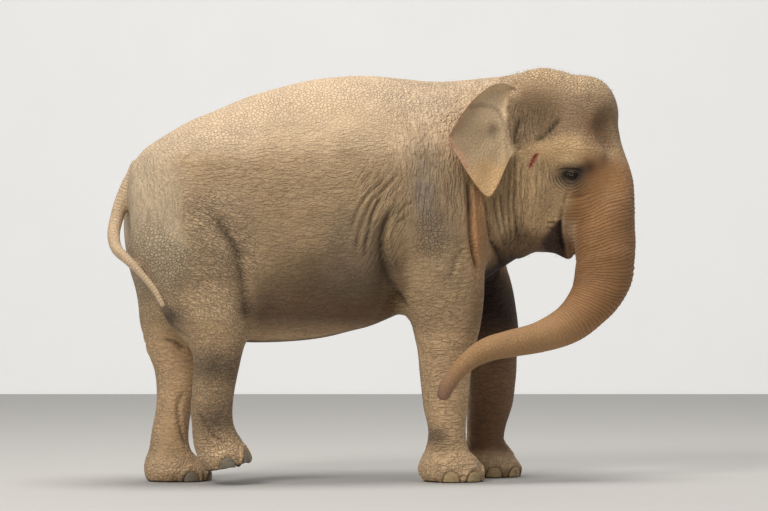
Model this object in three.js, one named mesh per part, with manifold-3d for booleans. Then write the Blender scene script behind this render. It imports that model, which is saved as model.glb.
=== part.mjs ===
// Asian elephant cow: a still, life-size model that stands on three feet with its right hind foot raised
// and its trunk swung back past its right foreleg.
// Millimetres, +Z up, +X forward, +Y to the animal's left, the ground at z = 0.
//
// The whole body is one smooth field, negative inside. Each node is that field as a closed mesh over its
// own stretch of the body, kept inside a cutting solid, so that neighbours meet at a thin cut.
import * as THREE from "three";
import { mergeVertices } from "three/addons/utils/BufferGeometryUtils.js";
import Module from "manifold-3d";

const wasm = await Module();
wasm.setup();

// ---------------------------------------------------------------- driving dimensions
const GAP = 0.4; // between two neighbouring solids
const HALF_GAP = GAP / 2;
const FAR = 4000; // reaches past the whole animal from anywhere in it
const MIDDLE = [284.5, 26.5]; // of the whole, along x and y, in the numbers below

// Torso and neck in one run. Each row is a section across the body:
// [x, back height, belly height, height of the widest line, half width, sideways shift]
const TORSO = [
  [-1110, 1915, 1520, 1730, 170, 0],
  [-1060, 1972, 1260, 1640, 280, 0],
  [-907, 2086, 1030, 1590, 385, 0],
  [-740, 2170, 890, 1560, 450, 0],
  [-435, 2297, 826, 1470, 525, 0],
  [-100, 2393, 842, 1430, 580, 0],
  [250, 2433, 912, 1460, 570, 0],
  [500, 2419, 1010, 1530, 500, 0],
  [700, 2410, 1060, 1620, 425, 0],
  [900, 2418, 1130, 1720, 350, 0],
  [1050, 2432, 1225, 1800, 300, -15],
  [1200, 2450, 1330, 1850, 275, -40],
];
const TORSO_POWER = { back: 1.95, belly: 2.25 }; // roundness of the section above and below its widest line
const RUMP_LENGTH = 55; // the rounded end behind the first section
const NAPE_LENGTH = 160; // the rounded end in front of the last one
const CAP_POWER = 2.25;

// Muscle masses: centre and half sizes.
const SHOULDER_RIGHT = { at: [620, -235, 1660], half: [295, 272, 560] };
const SHOULDER_LEFT = { at: [735, 235, 1630], half: [330, 272, 560] };
const HIP_RIGHT = { at: [-780, -245, 1480], half: [400, 275, 480] };
const HIP_LEFT = { at: [-770, 245, 1500], half: [375, 275, 480] };

// Legs, from the sole up. Each row: [z, centre x, centre y, half length, half width]
const LEG_FORE_RIGHT = [
  [0, 768, -212, 178, 165],
  [60, 756, -212, 190, 176],
  [130, 745, -214, 176, 168],
  [190, 730, -216, 133, 142],
  [300, 728, -220, 116, 122],
  [480, 716, -226, 140, 136],
  [720, 714, -240, 165, 152],
  [930, 716, -258, 205, 168],
  [1150, 680, -290, 258, 190],
  [1380, 642, -302, 283, 194],
  [1500, 632, -298, 286, 192],
];
const LEG_FORE_LEFT = [
  [0, 1110, 205, 180, 165],
  [60, 1106, 205, 192, 176],
  [130, 1088, 207, 172, 168],
  [210, 1078, 209, 122, 142],
  [300, 1082, 212, 122, 122],
  [480, 1110, 220, 146, 136],
  [720, 1118, 236, 166, 152],
  [930, 1098, 258, 202, 168],
  [1150, 1020, 290, 254, 190],
  [1380, 925, 302, 288, 194],
  [1500, 890, 298, 290, 192],
];
const LEG_HIND_LEFT = [
  [0, -826, 195, 190, 158],
  [70, -834, 195, 202, 168],
  [130, -862, 196, 168, 160],
  [190, -878, 198, 130, 136],
  [300, -874, 204, 114, 118],
  [450, -846, 214, 110, 122],
  [640, -822, 236, 136, 140],
  [820, -848, 262, 168, 168],
  [1000, -828, 286, 226, 196],
  [1200, -780, 295, 284, 212],
  [1330, -772, 288, 300, 214],
];
const LEG_HIND_RIGHT = [
  [90, -600, -195, 128, 150],
  [160, -614, -196, 152, 162],
  [240, -646, -198, 146, 136],
  [340, -681, -204, 124, 118],
  [450, -692, -214, 124, 122],
  [600, -684, -236, 130, 138],
  [780, -668, -262, 152, 166],
  [940, -712, -284, 240, 196],
  [1100, -732, -295, 298, 210],
  [1220, -760, -295, 334, 214],
  [1340, -772, -288, 352, 214],
];
const SOLE_CAP = 30; // how far a leg's rounded end runs below its first row, before the sole is cut flat
const LEG_TOP_CAP = 260;
// The raised foot's heel edge, and its toe-up angle in degrees.
const LIFTED_SOLE = { at: [-695, 0, 84], pitch: 13 };

const BUTTOCK_CLEFT = { at: [-1190, 0, 1180], half: [150, 26, 330] };

// Head: its own axes run forward (a), to its left (b) and up (z) from this centre, turned to the right.
const HEAD = { x: 1290, y: -60, turn: -30 };
const SKULL = { at: [160, 0, 2115], half: [378, 284, 330], power: 2.3 };
const DOME = { at: [92, 108, 2262], half: [235, 165, 222], power: 2.1 }; // one on each side
const FOREHEAD = { at: [345, 0, 2240], half: [172, 190, 190], power: 2.1 };
const FACE = { at: [240, 0, 1850], half: [310, 284, 330], power: 2.2 };
const BROW = { at: [330, 218, 1950], half: [170, 82, 92], power: 2.0 }; // one on each side
const CHEEK = { at: [120, 0, 1640], half: [240, 236, 250], power: 2.2 };
const JAW = { at: [70, 0, 1512], half: [195, 165, 116], power: 2.1 };
const LIP = { at: [182, 0, 1438], half: [58, 88, 130], lean: 33 }; // the pointed lower lip hangs forward
const TEMPLE_HOLLOW = { at: [110, 342, 2150], half: [140, 78, 140] }; // one on each side
const BRIDGE_HOLLOW = { at: [545, 165, 2085], half: [80, 80, 120] }; // beside the trunk's root
const EAR_BASE = { at: [-46, 268, 2100], half: [70, 66, 230] }; // one on each side
const MOUTH = { at: [264, 0, 1400], half: [130, 190, 8] }; // the gap between lower lip and trunk

// Trunk: [x, y, z, half depth, half width] down its middle line, from its root between the eyes to the tip.
const TRUNK = [
  [1632, -262, 2000, 150, 150],
  [1664, -290, 1850, 186, 172],
  [1679, -312, 1690, 203, 175],
  [1681, -335, 1545, 213, 177],
  [1673, -355, 1400, 203, 184],
  [1664, -378, 1265, 194, 172],
  [1610, -405, 1129, 163, 154],
  [1537, -428, 1038, 139, 134],
  [1421, -458, 941, 120, 116],
  [1234, -490, 865, 95, 97],
  [1030, -515, 825, 82, 84],
  [912, -525, 798, 74, 75],
  [804, -530, 744, 64, 66],
  [707, -534, 658, 56, 58],
  [646, -536, 576, 51, 52],
  [629, -536, 535, 42, 43],
];

// Tail: [x, y, z, radius], from its root on the rump to the tip beside the right thigh.
const TAIL = [
  [-1040, 0, 1868, 72],
  [-1118, -6, 1800, 60],
  [-1183, -20, 1690, 50],
  [-1234, -55, 1560, 44],
  [-1260, -120, 1464, 41],
  [-1252, -210, 1378, 36],
  [-1204, -305, 1315, 31],
  [-1136, -395, 1232, 26],
  [-1066, -452, 1135, 21],
  [-1026, -478, 1056, 17],
];

const EYE = { a: 318, z: 1829, radius: 25, depth: 14 }; // depth of its middle under the skin

// Ear, seen flat: [back from its root line, height], round the rim from the front of its top.
const EAR_RIM = [
  [-75, 2325],
  [-20, 2376],
  [70, 2384],
  [180, 2356],
  [300, 2290],
  [400, 2214],
  [490, 2115],
  [550, 2022],
  [490, 1932],
  [420, 1828],
  [322, 1716],
  [262, 1682],
  [200, 1726],
  [138, 1802],
  [70, 1893],
  [10, 1962],
  [-30, 2070],
  [-62, 2200],
];
const EAR_MIDDLE = [215, 2080];
const EAR_THICKNESS = { middle: 26, rim: 9 };
const EAR_DISH = 34; // how far its middle lies inside a flat sheet
const EAR_LEAN = 0.16; // how far it hangs outward, for each millimetre below its middle
const EAR_ROOT = { a: -31, b: 296 }; // the root line in head axes, one on each side
const EAR_FLARE = { right: 59, left: 22 }; // degrees out from the head's own backward line

// Nails: how many, the angle between two, how far the row is turned outward, and each one's half
// width, height above the sole and half thickness.
const NAILS = {
  fore: { count: 5, step: 50, outward: 4, width: 48, height: 62, thick: 12 },
  hind: { count: 4, step: 53, outward: 13, width: 46, height: 60, thick: 12 },
};
const NAIL_CLEARANCE = 3; // a nail's lower edge above the sole
const NAIL_LEVEL = 34; // where a nail's middle is fitted to the foot, above the sole

const SKIN_COLOUR = 0x9a8468;
const NAIL_COLOUR = 0xb5a88f;
const EYE_COLOUR = 0x2a1a10;

// ---------------------------------------------------------------- field
const rad = THREE.MathUtils.degToRad;

/** The numbers after the first of each row, run smoothly through the rows at place t. */
function along(rows, t) {
  const last = rows.length - 1;
  if (t <= rows[0][0]) return rows[0].slice(1);
  if (t >= rows[last][0]) return rows[last].slice(1);
  let i = 0;
  while (t > rows[i + 1][0]) i++;
  const step = rows[i + 1][0] - rows[i][0];
  const s = (t - rows[i][0]) / step;
  const slope = (k, c) => {
    const before = rows[Math.max(k - 1, 0)];
    const after = rows[Math.min(k + 1, last)];
    return (after[c] - before[c]) / (after[0] - before[0]);
  };
  return rows[i].slice(1).map((value, n) => {
    const c = n + 1;
    const next = rows[i + 1][c];
    return (
      (2 * s ** 3 - 3 * s ** 2 + 1) * value +
      (s ** 3 - 2 * s ** 2 + s) * step * slope(i, c) +
      (3 * s ** 2 - 2 * s ** 3) * next +
      (s ** 3 - s ** 2) * step * slope(i + 1, c)
    );
  });
}

/** Rough distance to a rounded box-like egg: power 2 is an ellipsoid, more is squarer. */
function egg(d, half, power = 2) {
  const length = Math.hypot(...d);
  const r = d.reduce((sum, v, i) => sum + Math.abs(v / half[i]) ** power, 0) ** (1 / power);
  return r < 1e-6 ? -Math.min(...half) : length * (1 - 1 / r);
}

/** Union of two fields that blend over about k millimetres. */
function blend(f, g, k) {
  const h = Math.max(k - Math.abs(f - g), 0) / k;
  return Math.min(f, g) - (h * h * k) / 4;
}

/** Field f with g taken out of it, blended over about k millimetres. */
const carve = (f, g, k) => -blend(-f, g, k);

const mass = (p, { at, half }, power) => egg(p.map((v, i) => v - at[i]), half, power);

function torsoField([x, y, z]) {
  const first = TORSO[0][0];
  const last = TORSO[TORSO.length - 1][0];
  const place = THREE.MathUtils.clamp(x, first, last);
  const [top, bottom, widest, width, shift] = along(TORSO, place);
  const up = z > widest;
  const power = up ? TORSO_POWER.back : TORSO_POWER.belly;
  const height = up ? top - widest : widest - bottom;
  const across = [y - shift, z - widest];
  const cap = x < first ? RUMP_LENGTH : NAPE_LENGTH;
  const [u, v] = [Math.abs(across[0] / width), Math.abs(across[1] / height)];
  const section = (u ** power + v ** power) ** (1 / power);
  const r = (section ** CAP_POWER + Math.abs((x - place) / cap) ** CAP_POWER) ** (1 / CAP_POWER);
  return r < 1e-6 ? -width : Math.hypot(x - place, ...across) * (1 - 1 / r);
}

function legField(rows, [x, y, z]) {
  const place = THREE.MathUtils.clamp(z, rows[0][0], rows[rows.length - 1][0]);
  const [cx, cy, length, width] = along(rows, place);
  return egg([x - cx, y - cy, z - place], [length, width, z < place ? SOLE_CAP : LEG_TOP_CAP], 2.1);
}

const TURN_COS = Math.cos(rad(HEAD.turn));
const TURN_SIN = Math.sin(rad(HEAD.turn));
const toHead = ([x, y, z]) => [
  (x - HEAD.x) * TURN_COS + (y - HEAD.y) * TURN_SIN,
  (y - HEAD.y) * TURN_COS - (x - HEAD.x) * TURN_SIN,
  z,
];
const fromHead = (a, b, z) =>
  new THREE.Vector3(HEAD.x + a * TURN_COS - b * TURN_SIN, HEAD.y + a * TURN_SIN + b * TURN_COS, z);

/** An egg whose foot is swung forward by its lean in degrees. */
function leant(q, { at, half, lean }) {
  const [a, b, z] = q.map((v, i) => v - at[i]);
  const [c, s] = [Math.cos(rad(lean)), Math.sin(rad(lean))];
  return egg([a * c + z * s, b, z * c - a * s], half);
}

function headField(p) {
  const [a, b, z] = toHead(p);
  const paired = [a, Math.abs(b), z]; // the two sides of the head are alike
  let f = mass([a, b, z], SKULL, SKULL.power);
  f = blend(f, mass(paired, DOME, DOME.power), 60);
  f = blend(f, mass([a, b, z], FOREHEAD, FOREHEAD.power), 70);
  f = blend(f, mass([a, b, z], FACE, FACE.power), 120);
  f = carve(f, mass(paired, TEMPLE_HOLLOW), 90);
  f = carve(f, mass(paired, BRIDGE_HOLLOW), 80);
  f = blend(f, mass(paired, BROW), 90);
  f = blend(f, mass(paired, EAR_BASE), 60);
  f = blend(f, mass([a, b, z], CHEEK, CHEEK.power), 110);
  f = blend(f, mass([a, b, z], JAW, JAW.power), 90);
  return blend(f, leant([a, b, z], LIP), 60);
}

/** A bent tube as short straight lengths between points run smoothly through the rows. */
function tubeOf(rows, steps) {
  const curve = new THREE.CatmullRomCurve3(rows.map(([x, y, z]) => new THREE.Vector3(x, y, z)));
  const sizes = rows.map((row, i) => [i / (rows.length - 1), ...row.slice(3)]);
  return Array.from({ length: steps + 1 }, (_, i) => ({
    at: curve.getPoint(i / steps),
    tangent: curve.getTangent(i / steps),
    sizes: along(sizes, i / steps),
  }));
}

const TRUNK_TUBE = tubeOf(TRUNK, 90);
const TAIL_TUBE = tubeOf(TAIL, 60);

/** Rough distance to a tube whose section has a half depth and a half width (the last is level). */
function tubeField(tube, [x, y, z]) {
  let best = Infinity;
  let found = null;
  for (let i = 0; i + 1 < tube.length; i++) {
    const from = tube[i].at;
    const to = tube[i + 1].at;
    const [dx, dy, dz] = [to.x - from.x, to.y - from.y, to.z - from.z];
    const [px, py, pz] = [x - from.x, y - from.y, z - from.z];
    const s = THREE.MathUtils.clamp((px * dx + py * dy + pz * dz) / (dx * dx + dy * dy + dz * dz), 0, 1);
    const gap = (px - s * dx) ** 2 + (py - s * dy) ** 2 + (pz - s * dz) ** 2;
    if (gap < best) {
      best = gap;
      found = [i, s];
    }
  }
  const [i, s] = found;
  const size = tube[i].sizes.map((v, n) => THREE.MathUtils.lerp(v, tube[i + 1].sizes[n], s));
  const [depth, width] = [size[0], size[size.length - 1]];
  const tangent = tube[i].tangent;
  const level = Math.hypot(tangent.x, tangent.y) || 1;
  const away = [
    x - THREE.MathUtils.lerp(tube[i].at.x, tube[i + 1].at.x, s),
    y - THREE.MathUtils.lerp(tube[i].at.y, tube[i + 1].at.y, s),
  ];
  const sideways = (away[1] * tangent.x - away[0] * tangent.y) / level;
  const length = Math.sqrt(best);
  const rest = Math.sqrt(Math.max(best - sideways * sideways, 0));
  const r = Math.hypot(sideways / width, rest / depth);
  return r < 1e-6 ? -depth : length * (1 - 1 / r);
}

const trunkField = (p) => tubeField(TRUNK_TUBE, p);

/** Torso, neck and legs. */
function coreField(p) {
  let f = torsoField(p);
  [SHOULDER_RIGHT, SHOULDER_LEFT, HIP_RIGHT, HIP_LEFT].forEach((muscle) => {
    f = blend(f, mass(p, muscle), 190);
  });
  f = blend(f, Math.min(legField(LEG_FORE_RIGHT, p), legField(LEG_FORE_LEFT, p)), 110);
  f = blend(f, Math.min(legField(LEG_HIND_RIGHT, p), legField(LEG_HIND_LEFT, p)), 110);
  return carve(f, mass(p, BUTTOCK_CLEFT), 70);
}

/** Head and trunk. */
const faceField = (p) => blend(headField(p), trunkField(p), 70);

/** The whole body but for the ears and the tail. */
const bodyField = (p) => (p[0] < 700 ? coreField(p) : blend(coreField(p), faceField(p), 90));

// ---------------------------------------------------------------- meshes
/** The closed surface where field(p) = 0, as one point to each grid cell of the given size it crosses. */
function surface(field, [low, high], cell) {
  const count = low.map((v, i) => Math.ceil((high[i] - v) / cell[i]) + 1);
  const index = (i, j, k) => (k * count[1] + j) * count[0] + i;
  const place = (...step) => low.map((v, axis) => v + step[axis] * cell[axis]);
  const values = new Float64Array(count[0] * count[1] * count[2]);
  for (let k = 0; k < count[2]; k++)
    for (let j = 0; j < count[1]; j++)
      for (let i = 0; i < count[0]; i++) {
        const edge = [i, j, k].some((v, n) => v === 0 || v === count[n] - 1);
        values[index(i, j, k)] = edge ? cell[0] : field(place(i, j, k));
      }
  const corners = Array.from({ length: 8 }, (_, n) => [n & 1, (n >> 1) & 1, (n >> 2) & 1]);
  const edges = [];
  corners.forEach((c, m) =>
    [1, 2, 4].forEach((bit) => {
      if (!(m & bit)) edges.push([m, m | bit]);
    }),
  );
  const points = [];
  const cells = new Map();
  for (let k = 0; k + 1 < count[2]; k++)
    for (let j = 0; j + 1 < count[1]; j++)
      for (let i = 0; i + 1 < count[0]; i++) {
        const at = corners.map(([a, b, c]) => values[index(i + a, j + b, k + c)]);
        const sum = [0, 0, 0];
        let crossings = 0;
        edges.forEach(([m, n]) => {
          if (at[m] < 0 === at[n] < 0) return;
          const s = at[m] / (at[m] - at[n]);
          for (let axis = 0; axis < 3; axis++)
            sum[axis] += corners[m][axis] + s * (corners[n][axis] - corners[m][axis]);
          crossings++;
        });
        if (!crossings) continue;
        cells.set(index(i, j, k), points.length);
        points.push(place(...[i, j, k].map((v, axis) => v + sum[axis] / crossings)));
      }
  const faces = [];
  const quad = (a, b, c, d, flip) => {
    const ring = flip ? [a, d, c, b] : [a, b, c, d];
    const [p, q, r, s] = ring.map((n) => cells.get(n));
    const far = (m, n) => Math.hypot(...points[m].map((v, axis) => v - points[n][axis]));
    if (far(p, r) < far(q, s)) faces.push(p, q, r, p, r, s);
    else faces.push(q, r, s, q, s, p);
  };
  const steps = [1, count[0], count[0] * count[1]];
  for (let k = 0; k + 1 < count[2]; k++)
    for (let j = 0; j + 1 < count[1]; j++)
      for (let i = 0; i + 1 < count[0]; i++) {
        const here = index(i, j, k);
        const inside = values[here] < 0;
        for (let axis = 0; axis < 3; axis++) {
          if (inside === values[here + steps[axis]] < 0) continue;
          const u = steps[(axis + 1) % 3];
          const v = steps[(axis + 2) % 3];
          quad(here, here - u, here - u - v, here - v, inside === false);
        }
      }
  const reach = 0.6 * Math.min(...cell);
  points.forEach((p) => settle(field, p, reach));
  return { positions: points.flat(), faces };
}

/** The same surface as a solid. Where two folds meet in one grid cell, the grid is shifted until none do. */
function net(field, [low, high], cell) {
  for (const shift of [0, 0.37, 0.61, 0.83]) {
    const { positions, faces } = surface(field, [low.map((v, i) => v - shift * cell[i]), high], cell);
    try {
      return closedMesh(positions, faces);
    } catch {
      continue;
    }
  }
  throw new Error("no grid gives a closed surface from " + low + " to " + high);
}

/** Moves a point onto the surface field(p) = 0, by `reach` at most. */
function settle(field, p, reach) {
  const start = [...p];
  for (let round = 0; round < 4; round++) {
    const value = field(p);
    const slope = [0, 1, 2].map((axis) => {
      const q = [...p];
      q[axis] += 1;
      return field(q) - value;
    });
    const square = slope.reduce((sum, v) => sum + v * v, 0) || 1;
    slope.forEach((v, axis) => (p[axis] -= (value * v) / square));
  }
  const moved = Math.hypot(...p.map((v, axis) => v - start[axis]));
  if (moved > reach) start.forEach((v, axis) => (p[axis] = v + ((p[axis] - v) * reach) / moved));
}

function closedMesh(positions, faces) {
  const vertProperties = new Float32Array(positions);
  return new wasm.Manifold(new wasm.Mesh({ numProp: 3, vertProperties, triVerts: new Uint32Array(faces) }));
}

/** A three.js geometry, moved by a matrix, as a solid. */
function solid(geometry, matrix = new THREE.Matrix4()) {
  const bare = geometry.clone();
  bare.deleteAttribute("normal");
  bare.deleteAttribute("uv");
  bare.applyMatrix4(matrix);
  const merged = mergeVertices(bare, 1e-3);
  return closedMesh(merged.attributes.position.array, merged.index.array);
}

/** Everything on the side of a plane that its normal points to, from `inset` past the plane. */
function beyond(point, normal, inset = HALF_GAP) {
  const n = new THREE.Vector3(...normal).normalize();
  const turn = new THREE.Quaternion().setFromUnitVectors(new THREE.Vector3(0, 0, 1), n);
  const middle = new THREE.Vector3(...point).addScaledVector(n, FAR / 2 + inset);
  const matrix = new THREE.Matrix4().compose(middle, turn, new THREE.Vector3(1, 1, 1));
  return solid(new THREE.BoxGeometry(2 * FAR, 2 * FAR, FAR), matrix);
}

const behind = (point, normal, inset = HALF_GAP) => beyond(point, normal.map((v) => -v), inset);

/** A prism whose outline is given in two axes and runs from low to high along the third. */
function prism(outline, low, high, matrix) {
  const shape = new THREE.Shape(outline.map(([u, v]) => new THREE.Vector2(u, v)));
  const geometry = new THREE.ExtrudeGeometry(shape, { depth: high - low, bevelEnabled: false });
  geometry.translate(0, 0, low);
  return solid(geometry, matrix);
}
// Extruded (u, v, w) become (y, z, x) and (a, z, -b).
const ALONG_X = new THREE.Matrix4().makeBasis(
  new THREE.Vector3(0, 1, 0),
  new THREE.Vector3(0, 0, 1),
  new THREE.Vector3(1, 0, 0),
);
const ACROSS_HEAD = new THREE.Matrix4()
  .makeBasis(
    new THREE.Vector3(TURN_COS, TURN_SIN, 0),
    new THREE.Vector3(0, 0, 1),
    new THREE.Vector3(TURN_SIN, -TURN_COS, 0),
  )
  .setPosition(HEAD.x, HEAD.y, 0);

/** Both sides of a dished ear: rings from its middle to the rim, on the outer and then on the inner face. */
function earSolid(side, flare) {
  const rim = new THREE.CatmullRomCurve3(EAR_RIM.map(([s, z]) => new THREE.Vector3(s, z, 0)), true);
  const [around, rings] = [EAR_RIM.length, 3];
  const turn = rad(flare);
  const place = (s, z, out) =>
    fromHead(
      EAR_ROOT.a - s * Math.cos(turn) + out * Math.sin(turn),
      side * (EAR_ROOT.b + s * Math.sin(turn) + out * Math.cos(turn)),
      z,
    );
  const sheet = (share, n) => {
    const edge = rim.getPoint(n / around);
    const s = THREE.MathUtils.lerp(EAR_MIDDLE[0], edge.x, share);
    const z = THREE.MathUtils.lerp(EAR_MIDDLE[1], edge.y, share);
    const thick = THREE.MathUtils.lerp(EAR_THICKNESS.middle, EAR_THICKNESS.rim, share ** 2) / 2;
    return { s, z, dish: EAR_LEAN * (EAR_MIDDLE[1] - z) - EAR_DISH * (1 - share ** 2), thick };
  };
  const positions = [];
  const push = (s, z, out) => positions.push(...place(s, z, out).toArray());
  [1, -1].forEach((face) => {
    push(...EAR_MIDDLE, -EAR_DISH + (face * EAR_THICKNESS.middle) / 2);
    for (let ring = 1; ring <= rings; ring++)
      for (let n = 0; n < around; n++) {
        const { s, z, dish, thick } = sheet(ring / rings, n);
        push(s, z, dish + face * thick);
      }
  });
  const faces = [];
  const perFace = 1 + rings * around;
  const at = (face, ring, n) => face * perFace + (ring ? 1 + (ring - 1) * around + (n % around) : 0);
  const tri = (a, b, c, flip) => faces.push(...(flip ? [a, c, b] : [a, b, c]));
  for (let face = 0; face < 2; face++)
    for (let n = 0; n < around; n++) {
      const flip = (face === 1) !== (side > 0);
      tri(at(face, 0, 0), at(face, 1, n), at(face, 1, n + 1), flip);
      for (let ring = 1; ring < rings; ring++) {
        tri(at(face, ring, n), at(face, ring + 1, n), at(face, ring + 1, n + 1), flip);
        tri(at(face, ring, n), at(face, ring + 1, n + 1), at(face, ring, n + 1), flip);
      }
    }
  for (let n = 0; n < around; n++) {
    tri(at(0, rings, n), at(1, rings, n), at(1, rings, n + 1), side > 0);
    tri(at(0, rings, n), at(1, rings, n + 1), at(0, rings, n + 1), side > 0);
  }
  const made = closedMesh(positions, faces);
  if (made.volume() < 0) throw new Error("the ear is inside out");
  return made;
}

/** A length of a tube as a solid: rings about every `step` stations; the tube's own end is rounded. */
function tubeSolid(tube, [first, last], step, around) {
  const rings = [];
  for (let n = first; n < last; n += step) rings.push({ ...tube[n], share: 1 });
  rings.push({ ...tube[last], share: 1 });
  if (last === tube.length - 1)
    [0.45, 0.85].forEach((reach) => {
      const at = tube[last].at.clone().addScaledVector(tube[last].tangent, reach * tube[last].sizes[0]);
      rings.push({ ...tube[last], at, share: Math.sqrt(1 - reach ** 2) });
    });
  const positions = [];
  rings.forEach(({ at, tangent, sizes, share }) => {
    const across = new THREE.Vector3(-tangent.y, tangent.x, 0).normalize();
    const up = new THREE.Vector3().crossVectors(tangent, across).normalize();
    for (let n = 0; n < around; n++) {
      const angle = (2 * Math.PI * n) / around;
      const point = at.clone().addScaledVector(up, share * sizes[0] * Math.cos(angle));
      point.addScaledVector(across, share * sizes[sizes.length - 1] * Math.sin(angle));
      positions.push(...point.toArray());
    }
  });
  positions.push(...rings[0].at.toArray(), ...rings[rings.length - 1].at.toArray());
  const point = (ring, n) => ring * around + (n % around);
  const [start, end] = [rings.length * around, rings.length * around + 1];
  const faces = [];
  for (let n = 0; n < around; n++) {
    faces.push(start, point(0, n), point(0, n + 1));
    faces.push(end, point(rings.length - 1, n + 1), point(rings.length - 1, n));
    for (let ring = 0; ring + 1 < rings.length; ring++) {
      faces.push(point(ring, n), point(ring + 1, n + 1), point(ring, n + 1));
      faces.push(point(ring, n), point(ring + 1, n), point(ring + 1, n + 1));
    }
  }
  return closedMesh(positions, faces);
}

/** An ellipsoid as a solid: half sizes up, across and along `out`, which is level. */
function ball(at, half, out = new THREE.Vector3(1, 0, 0), segments = 12) {
  const up = new THREE.Vector3(0, 0, 1);
  const matrix = new THREE.Matrix4().makeBasis(up, new THREE.Vector3().crossVectors(out, up), out);
  matrix.scale(new THREE.Vector3(...half)).setPosition(at);
  return solid(new THREE.SphereGeometry(1, segments, segments / 2), matrix);
}

/** Where a ray from inside the field first comes out of it. */
function comesOut(field, from, direction) {
  const at = (t) => from.clone().addScaledVector(direction, t);
  let [near, far] = [0, 600];
  for (let round = 0; round < 24; round++) {
    const middle = (near + far) / 2;
    if (field(at(middle).toArray()) < 0) near = middle;
    else far = middle;
  }
  return at(near);
}

// ---------------------------------------------------------------- nodes
const elephant = new THREE.Group();
const MATERIALS = {
  skin: () => new THREE.MeshStandardMaterial({ color: SKIN_COLOUR, roughness: 0.85, metalness: 0 }),
  nail: () => new THREE.MeshStandardMaterial({ color: NAIL_COLOUR, roughness: 0.6, metalness: 0 }),
  eye: () => new THREE.MeshStandardMaterial({ color: EYE_COLOUR, roughness: 0.1, metalness: 0 }),
};

/** Adds a node, set off by `away` from the neighbour that it was cut by. */
function add(name, body, kind = "skin", away = new THREE.Vector3()) {
  const mesh = body.getMesh();
  const geometry = new THREE.BufferGeometry();
  geometry.setAttribute("position", new THREE.BufferAttribute(new Float32Array(mesh.vertProperties), 3));
  geometry.setIndex(new THREE.BufferAttribute(new Uint32Array(mesh.triVerts), 1));
  const part = new THREE.Mesh(geometry, MATERIALS[kind]());
  part.name = name;
  part.position.copy(away);
  elephant.add(part);
}

/** The largest of the bodies a cut left, without the crumbs. */
const main = (body) => body.decompose().reduce((best, b) => (b.volume() > best.volume() ? b : best));

// Grid cells of the nodes' meshes.
const CELL = {
  torso: [190, 122, 142],
  neck: [120, 110, 150],
  head: [82, 82, 70],
  trunk: [58, 62, 46],
  leg: [94, 94, 135],
  shank: [76, 76, 115],
  foot: [68, 68, 46],
};

// Planes that part the body.
const NECK_CUT = { at: [1075, 0, 1885], normal: [0.95, 0, 0.31] };
const HEAD_CUT = { at: fromHead(-110, 0, 0).toArray(), normal: [TURN_COS, TURN_SIN, 0] };
const headPlane = (a, z, normalA, normalZ) => ({
  at: fromHead(a, 0, z).toArray(),
  normal: [TURN_COS * normalA, TURN_SIN * normalA, normalZ],
});
const TRUNK_CUT = headPlane(470, 1695, 0.38, -0.92);
const MOUTH_CUT = headPlane(MOUTH.at[0], MOUTH.at[2], 0.996, 0.09);
const trunkStation = (share) => {
  const { at, tangent } = TRUNK_TUBE[Math.round(share * (TRUNK_TUBE.length - 1))];
  return { at: at.toArray(), normal: tangent.toArray() };
};
const TRUNK_MIDDLE_CUT = trunkStation(0.44);
const TRUNK_LOWER_CUT = trunkStation(0.73);
const after = ({ at, normal }) => beyond(at, normal);
const before = ({ at, normal }) => behind(at, normal);

// Each leg is parted from the torso by a slope that rises outward from the belly.
const LEGS = {
  fore_right: { rows: LEG_FORE_RIGHT, side: -1, x: [335, 1300], slope: [945, 1500], knee: 620, ankle: 190 },
  fore_left: { rows: LEG_FORE_LEFT, side: 1, x: [600, 1500], slope: [945, 1500], knee: 620, ankle: 200 },
  hind_right: { rows: LEG_HIND_RIGHT, side: -1, x: [-1300, -420], slope: [790, 1370], knee: 640, ankle: 235 },
  hind_left: { rows: LEG_HIND_LEFT, side: 1, x: [-1300, -420], slope: [790, 1370], knee: 640, ankle: 190 },
};
const OUT = 700; // past the widest part of the body on each side

function legRegion({ side, x, slope }, grow) {
  const low = -200;
  const outline = [
    [0, low],
    [side * OUT, low],
    [side * OUT, slope[1] + grow],
    [0, slope[0] + grow],
  ];
  return prism(side > 0 ? outline : outline.reverse(), x[0] - grow, x[1] + grow, ALONG_X);
}

/** A point on a foot's sole and the sole's upward normal. */
function solePlane(name) {
  if (name !== "hind_right") return [[0, 0, 0], [0, 0, 1]];
  const pitch = rad(LIFTED_SOLE.pitch);
  return [LIFTED_SOLE.at, [-Math.sin(pitch), 0, Math.cos(pitch)]];
}

function torsoNode() {
  let body = net(bodyField, [[-1300, -680, 720], [1500, 680, 2560]], CELL.torso);
  body = body.intersect(before(NECK_CUT)).intersect(before(HEAD_CUT));
  Object.values(LEGS).forEach((leg) => (body = body.subtract(legRegion(leg, GAP))));
  return main(body);
}

function addLeg(name, leg) {
  const length = (low, high, cell) => {
    const corners = [
      [leg.x[0] - 200, leg.side > 0 ? -60 : -OUT, low - cell[2]],
      [leg.x[1] + 100, leg.side > 0 ? OUT : 60, high + cell[2]],
    ];
    const whole = net(coreField, corners, cell).intersect(legRegion(leg, 0));
    return main(whole.intersect(beyond([0, 0, low], [0, 0, 1])).intersect(behind([0, 0, high], [0, 0, 1])));
  };
  add("leg_" + name + "_upper", length(leg.knee, leg.slope[1], CELL.leg));
  add("leg_" + name + "_lower", length(leg.ankle, leg.knee, CELL.shank));
  const [solePoint, soleNormal] = solePlane(name);
  const foot = main(length(-40, leg.ankle, CELL.foot).intersect(beyond(solePoint, soleNormal, 0)));
  add("foot_" + name, foot);
  addNails(name, leg, foot);
}

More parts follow.
